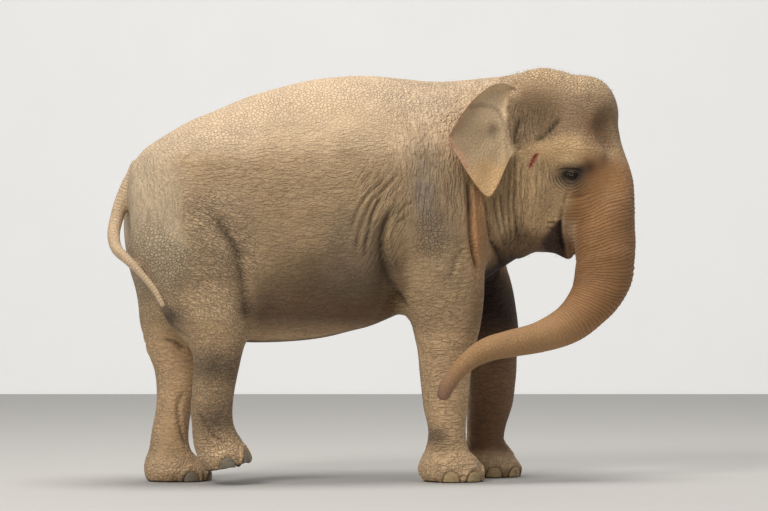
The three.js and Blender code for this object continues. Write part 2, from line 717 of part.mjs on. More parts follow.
/** A fan of nails round the front of a foot. */
function addNails(name, leg, foot) {
  const nail = NAILS[name.slice(0, 4)];
  const [, x, y, length] = leg.rows[1];
  const [point, normal] = solePlane(name);
  const soleAt = (at) => point[2] - ((at - point[0]) * normal[0]) / normal[2];
  for (let n = 0; n < nail.count; n++) {
    const angle = rad(leg.side * nail.outward + (n - (nail.count - 1) / 2) * nail.step);
    const out = new THREE.Vector3(Math.cos(angle), Math.sin(angle), 0);
    const from = new THREE.Vector3(x, y, soleAt(x + out.x * length) + NAIL_LEVEL);
    const at = comesOut(coreField, from, out);
    at.z = soleAt(at.x) + NAIL_CLEARANCE;
    const shape = ball(at, [nail.height, nail.width, nail.thick], out, 8);
    const body = main(shape.subtract(foot).intersect(beyond(point, normal, NAIL_CLEARANCE)));
    add("nail_" + name + "_" + (n + 1), body, "nail", out.clone().multiplyScalar(GAP));
  }
}

const torso = torsoNode();
add("torso", torso);

const neckBox = [[850, -420, 1100], [1500, 400, 2560]];
const neck = main(net(bodyField, neckBox, CELL.neck).intersect(after(NECK_CUT)).intersect(before(HEAD_CUT)));
add("neck", neck);

const headBox = [[1050, -720, 1230], [1950, 350, 2580]];
const front = net(bodyField, headBox, CELL.head).intersect(after(HEAD_CUT));
const eyes = [-1, 1].map((side) => {
  const from = fromHead(EYE.a, 0, EYE.z);
  const out = fromHead(EYE.a, side, EYE.z).sub(from);
  return comesOut(faceField, from, out).addScaledVector(out, -EYE.depth);
});
const forward = new THREE.Vector3(TURN_COS, TURN_SIN, 0);
const eyeBall = (at, radius) => ball(at, [radius, radius, radius], forward, 12);
let head = front.intersect(before(TRUNK_CUT));
eyes.forEach((at) => (head = head.subtract(eyeBall(at, EYE.radius + GAP))));
head = main(head);
add("head", head);
["right", "left"].forEach((name, n) => add("eye_" + name, eyeBall(eyes[n], EYE.radius), "eye"));

const mouth = ball(fromHead(...MOUTH.at), MOUTH.half, forward);
const lower = front.intersect(after(TRUNK_CUT));
add("jaw", main(lower.intersect(before(MOUTH_CUT)).subtract(mouth)));

const trunkBox = [[1150, -720, 800], [2000, 350, 2000]];
const trunkUpper = net(faceField, trunkBox, CELL.trunk);
const inFront = trunkUpper.intersect(after(TRUNK_CUT)).intersect(after(MOUTH_CUT)).subtract(mouth);
add("trunk_upper", main(inFront.intersect(before(TRUNK_MIDDLE_CUT))));
const trunkMiddle = tubeSolid(TRUNK_TUBE, [34, 70], 4, 14);
add("trunk_middle", main(trunkMiddle.intersect(after(TRUNK_MIDDLE_CUT)).intersect(before(TRUNK_LOWER_CUT))));
add("trunk_lower", tubeSolid(TRUNK_TUBE, [62, 90], 4, 12).intersect(after(TRUNK_LOWER_CUT)));

[
  ["right", -1],
  ["left", 1],
].forEach(([name, side]) => {
  const ear = main(earSolid(side, EAR_FLARE[name]).subtract(head).subtract(neck));
  add("ear_" + name, ear, "skin", new THREE.Vector3(-TURN_SIN, TURN_COS, 0).multiplyScalar(side * GAP));
});

const TAIL_CUT = { at: TAIL_TUBE[30].at.toArray(), normal: TAIL_TUBE[30].tangent.toArray() };
const tail = tubeSolid(TAIL_TUBE, [0, 60], 4, 8).subtract(torso);
add("tail_upper", main(tail.intersect(before(TAIL_CUT))), "skin", new THREE.Vector3(-GAP, 0, 0));
add("tail_lower", main(tail.intersect(after(TAIL_CUT))), "skin", new THREE.Vector3(-GAP, 0, 0));

Object.entries(LEGS).forEach(([name, leg]) => addLeg(name, leg));

// The origin is on the floor, under the middle of the whole.
elephant.position.set(-MIDDLE[0], -MIDDLE[1], 0);
const group = new THREE.Group();
group.add(elephant);

export default group;
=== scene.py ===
"""A life-size Asian elephant cow: one skin over the whole body, with eyes, nails, lashes and bristles.

Laid out as an add-on and run as a script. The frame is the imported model's, in metres: +X towards the head,
+Y to the animal's left, +Z up, floor at z = 0. The numbers that draw the body are millimetres in the
animal's own plan, whose middle lies at MIDDLE.
"""

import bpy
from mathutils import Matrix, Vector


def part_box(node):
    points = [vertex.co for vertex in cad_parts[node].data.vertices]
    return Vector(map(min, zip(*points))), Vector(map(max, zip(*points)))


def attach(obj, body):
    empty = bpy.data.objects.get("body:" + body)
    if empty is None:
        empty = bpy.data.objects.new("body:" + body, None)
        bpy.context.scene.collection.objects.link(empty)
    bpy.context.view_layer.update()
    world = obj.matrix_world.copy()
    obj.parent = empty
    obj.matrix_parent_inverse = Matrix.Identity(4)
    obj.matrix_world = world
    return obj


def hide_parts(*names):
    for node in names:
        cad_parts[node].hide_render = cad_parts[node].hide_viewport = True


bl_info = {
    "name": "Asian Elephant Model",
    "version": (1, 0, 0),
    "blender": (4, 5, 0),
    "location": "3D View > Sidebar > Elephant",
    "description": "Lays skin, eyes, nails and bristles over the solids of a life-size Asian elephant",
    "category": "Object",
}

import math

import bmesh
import bpy
import numpy as np
from bpy.props import FloatProperty, FloatVectorProperty, IntProperty, PointerProperty
from mathutils import Matrix, Vector

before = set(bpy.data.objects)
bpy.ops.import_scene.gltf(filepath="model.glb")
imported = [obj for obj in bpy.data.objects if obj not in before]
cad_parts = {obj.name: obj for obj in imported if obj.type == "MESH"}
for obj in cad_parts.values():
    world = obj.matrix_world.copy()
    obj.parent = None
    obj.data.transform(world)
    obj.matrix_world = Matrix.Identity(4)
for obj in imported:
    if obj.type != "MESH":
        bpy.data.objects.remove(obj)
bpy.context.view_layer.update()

# ------------------------------------------------------------------ the body's plan
MIDDLE = np.array([284.5, 26.5, 0.0])
PLAN_CLEARANCE = 6  # how far a packed eye may be from its place in the plan
MOST_TRIANGLES = 200_000
OVERLAP = 0.0012  # how much each solid grows, in metres, so that neighbours join in one skin
MOST_STRAY = 5.0  # how far a point of the trunk may stand out of its neighbours' plane
RING_PERIOD = 0.020  # between two fine rings of the trunk, in metres
TAIL_REACH = -900  # the tail lies behind this x

# Torso and neck: [x, back height, belly height, height of the widest line, half width, sideways shift]
TORSO = [
    [-1110, 1915, 1520, 1730, 170, 0], [-1060, 1972, 1260, 1640, 280, 0],
    [-907, 2086, 1030, 1590, 385, 0], [-740, 2170, 890, 1560, 450, 0], [-435, 2297, 826, 1470, 525, 0],
    [-100, 2393, 842, 1430, 580, 0], [250, 2433, 912, 1460, 570, 0], [500, 2419, 1010, 1530, 500, 0],
    [700, 2410, 1060, 1620, 425, 0], [900, 2418, 1130, 1720, 350, 0],
    [1050, 2432, 1225, 1800, 300, -15], [1200, 2450, 1330, 1850, 275, -40],
]
BACK_POWER, BELLY_POWER, CAP_POWER = 1.95, 2.25, 2.25
RUMP_LENGTH, NAPE_LENGTH = 55, 160

# Masses of the shoulders and hips: centre, half sizes.
MUSCLES = [
    ((620, -235, 1660), (295, 272, 560)),
    ((735, 235, 1630), (330, 272, 560)),
    ((-780, -245, 1480), (400, 275, 480)),
    ((-770, 245, 1500), (375, 275, 480)),
]

# Legs from the sole up: [z, centre x, centre y, half length, half width]
LEGS = {
    "fore_right": [
        [0, 768, -212, 178, 165], [60, 756, -212, 190, 176], [130, 745, -214, 176, 168],
        [190, 730, -216, 133, 142], [300, 728, -220, 116, 122], [480, 716, -226, 140, 136],
        [720, 714, -240, 165, 152], [930, 716, -258, 205, 168], [1150, 680, -290, 258, 190],
        [1380, 642, -302, 283, 194], [1500, 632, -298, 286, 192],
    ],
    "fore_left": [
        [0, 1110, 205, 180, 165], [60, 1106, 205, 192, 176], [130, 1088, 207, 172, 168],
        [210, 1078, 209, 122, 142], [300, 1082, 212, 122, 122], [480, 1110, 220, 146, 136],
        [720, 1118, 236, 166, 152], [930, 1098, 258, 202, 168], [1150, 1020, 290, 254, 190],
        [1380, 925, 302, 288, 194], [1500, 890, 298, 290, 192],
    ],
    "hind_left": [
        [0, -826, 195, 190, 158], [70, -834, 195, 202, 168], [130, -862, 196, 168, 160],
        [190, -878, 198, 130, 136], [300, -874, 204, 114, 118], [450, -846, 214, 110, 122],
        [640, -822, 236, 136, 140], [820, -848, 262, 168, 168], [1000, -828, 286, 226, 196],
        [1200, -780, 295, 284, 212], [1330, -772, 288, 300, 214],
    ],
    "hind_right": [
        [90, -600, -195, 128, 150], [160, -614, -196, 152, 162], [240, -646, -198, 146, 136],
        [340, -681, -204, 124, 118], [450, -692, -214, 124, 122], [600, -684, -236, 130, 138],
        [780, -668, -262, 152, 166], [940, -712, -284, 240, 196], [1100, -732, -295, 298, 210],
        [1220, -760, -295, 334, 214], [1340, -772, -288, 352, 214],
    ],
}
SOLE_CAP, LEG_TOP_CAP = 30, 260
RAISED_SOLE = (-695, 84, math.radians(13))  # its heel's x and z, and how far the toes point up
BUTTOCK_CLEFT = ((-1190, 0, 1180), (150, 26, 330))

# Head, in its own axes: forward a, to its left b, up z, turned to the right round (x, y).
HEAD_AT, HEAD_TURN = (1290, -60), math.radians(-30)
SKULL = ((160, 0, 2115), (378, 284, 330), 2.3)
DOME = ((92, 108, 2262), (235, 165, 222), 2.1)
FOREHEAD = ((345, 0, 2240), (172, 190, 190), 2.1)
FACE = ((240, 0, 1850), (310, 284, 330), 2.2)
TEMPLE_HOLLOW = ((110, 342, 2150), (140, 78, 140), 2)
BRIDGE_HOLLOW = ((545, 165, 2085), (80, 80, 120), 2)
BROW = ((330, 218, 1950), (170, 82, 92), 2.0)
EAR_BASE = ((-46, 268, 2100), (70, 66, 230), 2)
CHEEK = ((120, 0, 1640), (240, 236, 250), 2.2)
JAW = ((70, 0, 1512), (195, 165, 116), 2.1)
LIP = ((182, 0, 1438), (58, 88, 130), math.radians(33))

# Trunk: [x, y, z, half depth, half width] down its middle line. Tail: [x, y, z, radius].
TRUNK = [
    [1632, -262, 2000, 150, 150], [1664, -290, 1850, 186, 172], [1679, -312, 1690, 203, 175],
    [1681, -335, 1545, 213, 177], [1673, -355, 1400, 203, 184], [1664, -378, 1265, 194, 172],
    [1610, -405, 1129, 163, 154], [1537, -428, 1038, 139, 134], [1421, -458, 941, 120, 116],
    [1234, -490, 865, 95, 97], [1030, -515, 825, 82, 84], [912, -525, 798, 74, 75],
    [804, -530, 744, 64, 66], [707, -534, 658, 56, 58], [646, -536, 576, 51, 52],
    [629, -536, 535, 42, 43],
]
TAIL = [
    [-1040, 0, 1868, 72], [-1118, -6, 1800, 60], [-1183, -20, 1690, 50], [-1234, -55, 1560, 44],
    [-1260, -120, 1464, 41], [-1252, -210, 1378, 36], [-1204, -305, 1315, 31], [-1136, -395, 1232, 26],
    [-1066, -452, 1135, 21], [-1026, -478, 1056, 17],
]

# Ear, seen flat: [back from its root line, height] round the rim from the front of its top.
EAR_RIM = [
    [-75, 2325], [-20, 2376], [70, 2384], [180, 2356], [300, 2290], [400, 2214],
    [490, 2115], [550, 2022], [490, 1932], [420, 1828], [322, 1716], [262, 1682],
    [200, 1726], [138, 1802], [70, 1893], [10, 1962], [-30, 2070], [-62, 2200],
]
EAR_MIDDLE = (215, 2080)
EAR_THICK_MIDDLE, EAR_THICK_RIM = 26, 9
EAR_DISH, EAR_LEAN = 34, 0.16
EAR_ROOT = (-31, 296)  # a and b of the root line
EAR_FLARE = {-1: math.radians(59), 1: math.radians(22)}  # out from the head's backward line, right and left

EYE = (318, 1829)  # a and z
EYE_RADIUS, EYE_DEPTH = 25, 14
UPPER_LID, LOWER_LID, LID_REACH = 7.5, 14, 23.5  # how far the lids' opening reaches up, down and along

NAILS = {  # how many, the angle between two, outward turn, half width, height over the sole, half thickness
    "fore": (5, 50, 4, 48, 62, 12),
    "hind": (4, 53, 13, 46, 60, 12),
}
NAIL_CLEARANCE = 3


# ------------------------------------------------------------------ the body as a field, negative inside
def plan(co):
    """Frame metres to plan millimetres."""
    return np.asarray(co, float) * 1000 + MIDDLE


def metres(p):
    return (np.asarray(p, float) - MIDDLE) / 1000


def ramp(low, high, value):
    """0 below low, 1 above high, smooth between."""
    t = np.clip((value - low) / (high - low), 0, 1)
    return t * t * (3 - 2 * t)


def along(rows, t):
    """The numbers after the first of each row, run smoothly through the rows at each t."""
    rows = np.asarray(rows, float)
    x, v = rows[:, 0], rows[:, 1:]
    last = len(x) - 1
    up, down = np.minimum(np.arange(last + 1) + 1, last), np.maximum(np.arange(last + 1) - 1, 0)
    slope = (v[up] - v[down]) / (x[up] - x[down])[:, None]
    t = np.clip(t, x[0], x[-1])
    i = np.clip(np.searchsorted(x, t, side="right") - 1, 0, last - 1)
    step = (x[i + 1] - x[i])[:, None]
    s = ((t - x[i]) / (x[i + 1] - x[i]))[:, None]
    rise, turn = s * s * (3 - 2 * s), s * (s - 1)
    return v[i] * (1 - rise) + v[i + 1] * rise + turn * step * ((s - 1) * slope[i] + s * slope[i + 1])


def egg(d, half, power=2.0):
    """Rough distance to a rounded box-like egg."""
    length = np.sqrt((d * d).sum(-1))
    r = (np.abs(d / np.asarray(half, float)) ** power).sum(-1) ** (1 / power)
    return length * (1 - 1 / np.maximum(r, 1e-6))


def blend(f, g, k):
    h = np.maximum(k - np.abs(f - g), 0) / k
    return np.minimum(f, g) - h * h * k / 4


def carve(f, g, k):
    return -blend(-f, g, k)


def mass(p, shape):
    return egg(p - np.array(shape[0], float), shape[1], shape[2] if len(shape) > 2 else 2.0)


def torso_field(p):
    x, y, z = p.T
    place = np.clip(x, TORSO[0][0], TORSO[-1][0])
    top, bottom, widest, width, shift = along(TORSO, place).T
    above = z > widest
    power = np.where(above, BACK_POWER, BELLY_POWER)
    height = np.where(above, top - widest, widest - bottom)
    cap = np.where(x < place, RUMP_LENGTH, NAPE_LENGTH)
    u, v = np.abs((y - shift) / width), np.abs((z - widest) / height)
    section = (u**power + v**power) ** (1 / power)
    r = (section**CAP_POWER + np.abs((x - place) / cap) ** CAP_POWER) ** (1 / CAP_POWER)
    length = np.sqrt((x - place) ** 2 + (y - shift) ** 2 + (z - widest) ** 2)
    return length * (1 - 1 / np.maximum(r, 1e-6))


def leg_field(rows, p):
    x, y, z = p.T
    place = np.clip(z, rows[0][0], rows[-1][0])
    cx, cy, length, width = along(rows, place).T
    cap = np.where(z < place, SOLE_CAP, LEG_TOP_CAP)
    return egg(np.stack([x - cx, y - cy, z - place], 1), np.stack([length, width, cap], 1), 2.1)


HEAD_COS, HEAD_SIN = math.cos(HEAD_TURN), math.sin(HEAD_TURN)


def to_head(p):
    x, y = p[:, 0] - HEAD_AT[0], p[:, 1] - HEAD_AT[1]
    return np.stack([x * HEAD_COS + y * HEAD_SIN, y * HEAD_COS - x * HEAD_SIN, p[:, 2]], 1)


def from_head(q):
    q = np.atleast_2d(np.asarray(q, float))
    a, b = q[:, 0], q[:, 1]
    x, y = HEAD_AT[0] + a * HEAD_COS - b * HEAD_SIN, HEAD_AT[1] + a * HEAD_SIN + b * HEAD_COS
    return np.stack([x, y, q[:, 2]], 1)


def head_way(a, b):
    """The direction in the plan of (a, b) in the head's own axes."""
    return np.array([a * HEAD_COS - b * HEAD_SIN, a * HEAD_SIN + b * HEAD_COS, 0])


def head_field(p):
    q = to_head(p)
    paired = q * [1, 0, 1] + np.abs(q) * [0, 1, 0]
    f = mass(q, SKULL)
    f = blend(f, mass(paired, DOME), 60)
    f = blend(f, mass(q, FOREHEAD), 70)
    f = blend(f, mass(q, FACE), 120)
    f = carve(f, mass(paired, TEMPLE_HOLLOW), 90)
    f = carve(f, mass(paired, BRIDGE_HOLLOW), 80)
    f = blend(f, mass(paired, BROW), 90)
    f = blend(f, mass(paired, EAR_BASE), 60)
    f = blend(f, mass(q, CHEEK), 110)
    f = blend(f, mass(q, JAW), 90)
    d = q - np.array(LIP[0], float)
    c, s = math.cos(LIP[2]), math.sin(LIP[2])
    leant = np.stack([d[:, 0] * c + d[:, 2] * s, d[:, 1], d[:, 2] * c - d[:, 0] * s], 1)
    return blend(f, egg(leant, LIP[1]), 60)


def smooth_path(points, shares, closed=False):
    """Points on a smooth curve through the given ones, which it passes at even steps of share."""
    points = np.asarray(points, float)
    count = len(points)
    run = (count if closed else count - 1) * np.asarray(shares, float)
    i = np.minimum(run.astype(int), count - (0 if closed else 2))
    w = (run - i)[:, None]
    if closed:
        p0, p1, p2, p3 = (points[(i + n) % count] for n in (-1, 0, 1, 2))
    else:
        ends = np.vstack([2 * points[0] - points[1], points, 2 * points[-1] - points[-2]])
        p0, p1, p2, p3 = (ends[i + n] for n in (0, 1, 2, 3))
    spans = (p1 - p0, p2 - p1, p3 - p2)
    gap = [np.maximum(np.sqrt(np.linalg.norm(span, axis=1)), 1e-4)[:, None] for span in spans]
    t1 = ((p1 - p0) / gap[0] - (p2 - p0) / (gap[0] + gap[1]) + (p2 - p1) / gap[1]) * gap[1]
    t2 = ((p2 - p1) / gap[1] - (p3 - p1) / (gap[1] + gap[2]) + (p3 - p2) / gap[2]) * gap[1]
    return p1 + t1 * w + (3 * (p2 - p1) - 2 * t1 - t2) * w**2 + (2 * (p1 - p2) + t1 + t2) * w**3


INNER_SIDE = np.array([-0.894, 0, 0.447])  # where the hollow side of the trunk's bend looks


class Tube:
    """A bent tube: stations along its middle line with their tangents, sizes and run from the start."""

    def __init__(self, rows, steps):
        rows = np.asarray(rows, float)
        shares = np.arange(steps + 1) / steps
        self.at = smooth_path(rows[:, :3], shares)
        near = np.clip([shares - 1e-4, shares + 1e-4], 0, 1)
        tangent = smooth_path(rows[:, :3], near[1]) - smooth_path(rows[:, :3], near[0])
        self.tangent = tangent / np.linalg.norm(tangent, axis=1)[:, None]
        sizes = along(np.column_stack([np.arange(len(rows)) / (len(rows) - 1), rows[:, 3:]]), shares)
        self.depth, self.width = sizes[:, 0], sizes[:, -1]
        self.run = np.concatenate([[0], np.cumsum(np.linalg.norm(np.diff(self.at, axis=0), axis=1))])
        reach = 260 + max(self.depth.max(), self.width.max())
        self.low, self.high = self.at.min(0) - reach, self.at.max(0) + reach

    def look(self, p):
        """For each point: rough distance, run along the tube, and angle round it (0 on its inner side)."""
        out = np.full((len(p), 3), [500.0, -1.0, 0.0])
        inside = np.flatnonzero(((p > self.low) & (p < self.high)).all(1))
        start, leg = self.at[:-1], np.diff(self.at, axis=0)
        square = (leg * leg).sum(1)
        for chunk in np.array_split(inside, max(1, len(inside) // 20000)):
            if not len(chunk):
                continue
            q = p[chunk]
            share = np.clip((q @ leg.T - (start * leg).sum(1)) / square, 0, 1)
            gap = (q * q).sum(1)[:, None] + (start * start).sum(1) - 2 * q @ start.T
            gap += share * share * square - 2 * share * (q @ leg.T - (start * leg).sum(1))
            i = gap.argmin(1)
            s = share[np.arange(len(q)), i][:, None]
            away = q - start[i] - s * leg[i]
            tangent = self.tangent[i]
            mix = lambda values: values[i] + s[:, 0] * (values[i + 1] - values[i])
            level = np.maximum(np.hypot(tangent[:, 0], tangent[:, 1]), 1e-9)
            sideways = (away[:, 1] * tangent[:, 0] - away[:, 0] * tangent[:, 1]) / level
            length = np.linalg.norm(away, axis=1)
            rest = np.sqrt(np.maximum(length**2 - sideways**2, 0))
            r = np.hypot(sideways / mix(self.width), rest / mix(self.depth))
            inner = INNER_SIDE - (tangent @ INNER_SIDE)[:, None] * tangent
            turn = np.arctan2((away * np.cross(tangent, inner)).sum(1), (away * inner).sum(1))
            out[chunk] = np.stack([length * (1 - 1 / np.maximum(r, 1e-6)), mix(self.run), turn], 1)
        return out


trunk_tube = Tube(TRUNK, 90)
tail_tube = Tube(TAIL, 60)


def ear_outline():
    """Angles and reaches of the rim from the ear's middle, in order of angle."""
    rim = smooth_path(EAR_RIM, np.arange(360) / 360, closed=True) - EAR_MIDDLE
    angle = np.arctan2(rim[:, 1], rim[:, 0])
    order = np.argsort(angle)
    return angle[order], np.linalg.norm(rim, axis=1)[order]


EAR_ANGLES, EAR_REACH = ear_outline()


def rim_reach(angle):
    """From the ear's middle to its rim, in the direction of the angle."""
    return np.interp(angle, EAR_ANGLES, EAR_REACH, period=2 * math.pi)


def ear_axes(side):
    """The ear's root point and its backward and outward directions, in the plan."""
    turn = EAR_FLARE[side]
    root = from_head([EAR_ROOT[0], side * EAR_ROOT[1], 0])[0]
    back = head_way(-math.cos(turn), side * math.sin(turn))
    return root, back, head_way(math.sin(turn), side * math.cos(turn))


def ear_sheet(s, z):
    """How far out the middle of the ear's sheet lies at (s, z), and its thickness there."""
    ds, dz = s - EAR_MIDDLE[0], z - EAR_MIDDLE[1]
    angle = np.arctan2(dz, ds)
    share = np.clip(np.hypot(ds, dz) / rim_reach(angle), 0, 1.15)
    out = EAR_LEAN * (EAR_MIDDLE[1] - z) - EAR_DISH * (1 - share**2)
    # the top and back of the rim roll outward, and shallow folds fan out from the root
    roll = ramp(-0.35, 0.5, angle) * ramp(2.9, 2.1, angle)
    out = out + 30 * roll * ramp(0.76, 1.0, share) ** 1.4
    fan = np.arctan2(z - 2110, s + 60)
    out = out + 2.4 * np.sin(fan * 11 + 0.006 * s) * ramp(40, 160, s) * ramp(1.02, 0.75, share)
    upright = np.exp(-(((s - 62 - 0.12 * (2100 - z)) / 20) ** 2))
    out = out + 8 * upright * ramp(2260, 2180, z) * ramp(1860, 1960, z)
    out = out - 10 * np.exp(-(((s - 128) / 40) ** 2) - ((z - 2080) / 52) ** 2)
    crimp = ramp(-0.75, -0.35, angle) * ramp(1.1, 0.5, angle)
    out = out + 5 * np.sin(z / 13 + 2.4 * np.sin(z / 47)) * crimp * ramp(0.82, 0.97, share)
    thick = EAR_THICK_MIDDLE + (EAR_THICK_RIM - EAR_THICK_MIDDLE) * share**2
    return out, np.maximum(thick, 7)


def near_ear(p, side):
    return np.flatnonzero((p[:, 0] > 560) & (p[:, 2] > 1600) & (p[:, 1] * side > -260))


def ear_look(p, side):
    """Rough distance to the ear, and each point's place on its sheet: (distance, s, share)."""
    root, back, out = ear_axes(side)
    d = p - root
    s, o, z = d @ back, d @ out, p[:, 2]
    sheet, thick = ear_sheet(s, z)
    ds, dz = s - EAR_MIDDLE[0], z - EAR_MIDDLE[1]
    reach = rim_reach(np.arctan2(dz, ds))
    share = np.hypot(ds, dz) / reach
    beyond = np.maximum((share - 1) * reach * 0.8 + thick / 2, 0)
    return np.hypot((o - sheet) * 0.96, beyond) - thick / 2, s, share


def face_field(p):
    return blend(head_field(p), trunk_tube.look(p)[:, 0], 70)


def core_field(p):
    f = torso_field(p)
    for muscle in MUSCLES:
        f = blend(f, mass(p, muscle), 190)
    for pair in (("fore_right", "fore_left"), ("hind_right", "hind_left")):
        f = blend(f, np.minimum(*(leg_field(LEGS[leg], p) for leg in pair)), 110)
    return carve(f, mass(p, BUTTOCK_CLEFT), 70)


def sole_level(p):
    """Height over the sole that a point's foot stands on."""
    x, z, pitch = RAISED_SOLE
    raised = ((p[:, 0] - x) * -math.sin(pitch)) + (p[:, 2] - z) * math.cos(pitch)
    lifted = (np.abs(p[:, 0] + 640) < 300) & (p[:, 1] < -20) & (p[:, 2] < 500)
    return np.where(lifted, raised, p[:, 2])


def body_field(p):
    """The whole body but for ears and tail."""
    f = core_field(p)
    near = np.flatnonzero(p[:, 0] > 560)
    if len(near):
        q = p[near]
        merge = 4 + 86 * ramp(1120, 1330, q[:, 2]) * ramp(640, 760, q[:, 0])
        f[near] = blend(f[near], face_field(q), merge)
    return carve(f, sole_level(p), 16)


def whole_field(p):
    f = body_field(p)
    for side in (-1, 1):
        near = near_ear(p, side)
        if len(near):
            f[near] = blend(f[near], ear_look(p[near], side)[0], 22)
    near = np.flatnonzero(p[:, 0] < TAIL_REACH)
    if len(near):
        f[near] = blend(f[near], tail_tube.look(p[near])[:, 0], 24)
    return f


def slope(field, p):
    value = field(p)
    return np.stack([field(p + step) - value for step in np.eye(3)], 1), value


def settle(p, field, inset=0.0, rounds=4, reach=25.0):
    """Moves points onto the surface where the field is -inset, by `reach` a round at most."""
    p = p.copy()
    for _ in range(rounds):
        g, value = slope(field, p)
        square = np.maximum((g * g).sum(1), 0.05)
        step = ((value + inset) / square)[:, None] * g
        far = np.linalg.norm(step, axis=1)
        p -= step * np.minimum(1, reach / np.maximum(far, 1e-9))[:, None]
    return p


def outward(p, field):
    g, _ = slope(field, p)
    return g / np.maximum(np.linalg.norm(g, axis=1), 1e-9)[:, None]


def comes_out(start, direction, field):
    """Where rays from inside the field first leave it."""
    near, far = np.zeros(len(start)), np.full(len(start), 600.0)
    for _ in range(24):
        middle = (near + far) / 2
        inside = field(start + middle[:, None] * direction) < 0
        near, far = np.where(inside, middle, near), np.where(inside, far, middle)
    return start + near[:, None] * direction


def noise(p, period, seed=0):
    """Smooth random values, about -1 to 1, that change over the given period in millimetres."""
    q = np.asarray(p, float) / period + seed * 17.31
    cell = np.floor(q).astype(np.int64)
    w = q - cell
    w = w * w * w * (w * (w * 6 - 15) + 10)
    total = 0
    for corner in range(8):
        bits = np.array([corner & 1, corner >> 1 & 1, corner >> 2])
        c = cell + bits
        h = (c[:, 0] * 374761393 + c[:, 1] * 668265263 + c[:, 2] * 2147483647 + seed * 974634777) & 0x7FFFFFFF
        h = ((h ^ (h >> 13)) * 1274126177) & 0x7FFFFFFF
        h = ((h ^ (h >> 16)) * 668265263) & 0x7FFFFFFF
        value = (h & 0xFFFF) / 32767.5 - 1
        total = total + value * np.where(bits, w, 1 - w).prod(1)
    return total


# ------------------------------------------------------------------ shared making tools
def mesh_points(mesh):
    co = np.empty(len(mesh.vertices) * 3)
    mesh.vertices.foreach_get("co", co)
    return co.reshape(-1, 3)


def place_points(mesh, co):
    mesh.vertices.foreach_set("co", np.ascontiguousarray(co, dtype=np.float32).ravel())
    mesh.update()


def new_piece(name, bm):
    """A mesh object of that name from a bmesh, at the origin."""
    mesh = bpy.data.meshes.new(name)
    bm.to_mesh(mesh)
    bm.free()
    piece = bpy.data.objects.new(name, mesh)
    bpy.context.scene.collection.objects.link(piece)
    return piece


def shade_smooth(piece):
    piece.data.polygons.foreach_set("use_smooth", np.ones(len(piece.data.polygons), bool))


def apply_modifiers(piece):
    """Puts what the modifiers make into the piece's own mesh."""
    graph = bpy.context.evaluated_depsgraph_get()
    made = bpy.data.meshes.new_from_object(piece.evaluated_get(graph), depsgraph=graph)
    old = piece.data
    piece.modifiers.clear()
    piece.data = made
    bpy.data.meshes.remove(old)
    made.name = piece.name


# ------------------------------------------------------------------ the skin
JOINED_LATER = ("ear_right", "ear_left", "tail_upper", "tail_lower")  # drawn anew and joined to the block
FLESH = [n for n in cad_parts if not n.startswith(("nail_", "eye_"))]


def body_block(cell):
    """The flesh nodes but for ears and tail as one closed mesh, on a grid of the given cell."""
    bm = bmesh.new()
    for name in FLESH:
        if name in JOINED_LATER:
            continue
        part = bmesh.new()
        part.from_mesh(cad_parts[name].data)
        bmesh.ops.remove_doubles(part, verts=part.verts, dist=1e-5)
        bmesh.ops.recalc_face_normals(part, faces=part.faces)
        part.normal_update()
        for vert in part.verts:
            vert.co += vert.normal * OVERLAP
        swollen = bpy.data.meshes.new("part")
        part.to_mesh(swollen)
        part.free()
        bm.from_mesh(swollen)
        bpy.data.meshes.remove(swollen)
    piece = new_piece("skin", bm)
    remesh = piece.modifiers.new("grid", "REMESH")
    remesh.mode = "VOXEL"
    remesh.voxel_size = cell
    apply_modifiers(piece)
    return piece


def neighbours(mesh, p):
    """From each point to the middle of the points that it shares an edge with."""
    ends = np.empty(len(mesh.edges) * 2, int)
    mesh.edges.foreach_get("vertices", ends)
    a, b = ends.reshape(-1, 2).T
    total = [np.bincount(a, v[b], len(v)) + np.bincount(b, v[a], len(v)) for v in p.T]
    return np.stack(total, 1) / np.maximum(np.bincount(ends, minlength=len(p)), 1)[:, None] - p


def relax(piece, field, rounds, keep=None):
    """Evens the mesh out along its own surface. Points where keep is true stay."""
    p = plan(mesh_points(piece.data))
    for _ in range(rounds):
        moved = p + 0.5 * neighbours(piece.data, p)
        if keep is not None:
            moved[keep] = p[keep]
        p = settle(moved, field, rounds=1)
    place_points(piece.data, metres(p))


def even_out(p, mesh, where, most):
    """Draws single points that stand out of their neighbours' plane back to it, where asked."""
    for _ in range(3):
        away = neighbours(mesh, p)
        stray = where & (np.linalg.norm(away, axis=1) > most)
        p = p + np.where(stray[:, None], away, 0)
    return p


def ear_piece(side):
    """An ear as a dished sheet with a rounded rim, from a ball whose equator becomes the rim."""
    bm = bmesh.new()
    bmesh.ops.create_uvsphere(bm, u_segments=120, v_segments=48, radius=1)
    ball = np.array([v.co for v in bm.verts])
    share = 1 - np.abs(np.arcsin(np.clip(ball[:, 2], -1, 1))) / (math.pi / 2)
    angle = np.arctan2(ball[:, 1], ball[:, 0])
    edge = np.sqrt(np.maximum(1 - share**14, 0))
    reach = rim_reach(angle) * share
    s, z = EAR_MIDDLE[0] + reach * np.cos(angle), EAR_MIDDLE[1] + reach * np.sin(angle)
    sheet, thick = ear_sheet(s, z)
    out = sheet + np.sign(ball[:, 2]) * edge * thick / 2
    root, back, outward_axis = ear_axes(side)
    p = root + s[:, None] * back + out[:, None] * outward_axis
    p[:, 2] = z
    for vert, at in zip(bm.verts, metres(p)):
        vert.co = at
    bmesh.ops.recalc_face_normals(bm, faces=bm.faces)
    return new_piece("ear", bm)


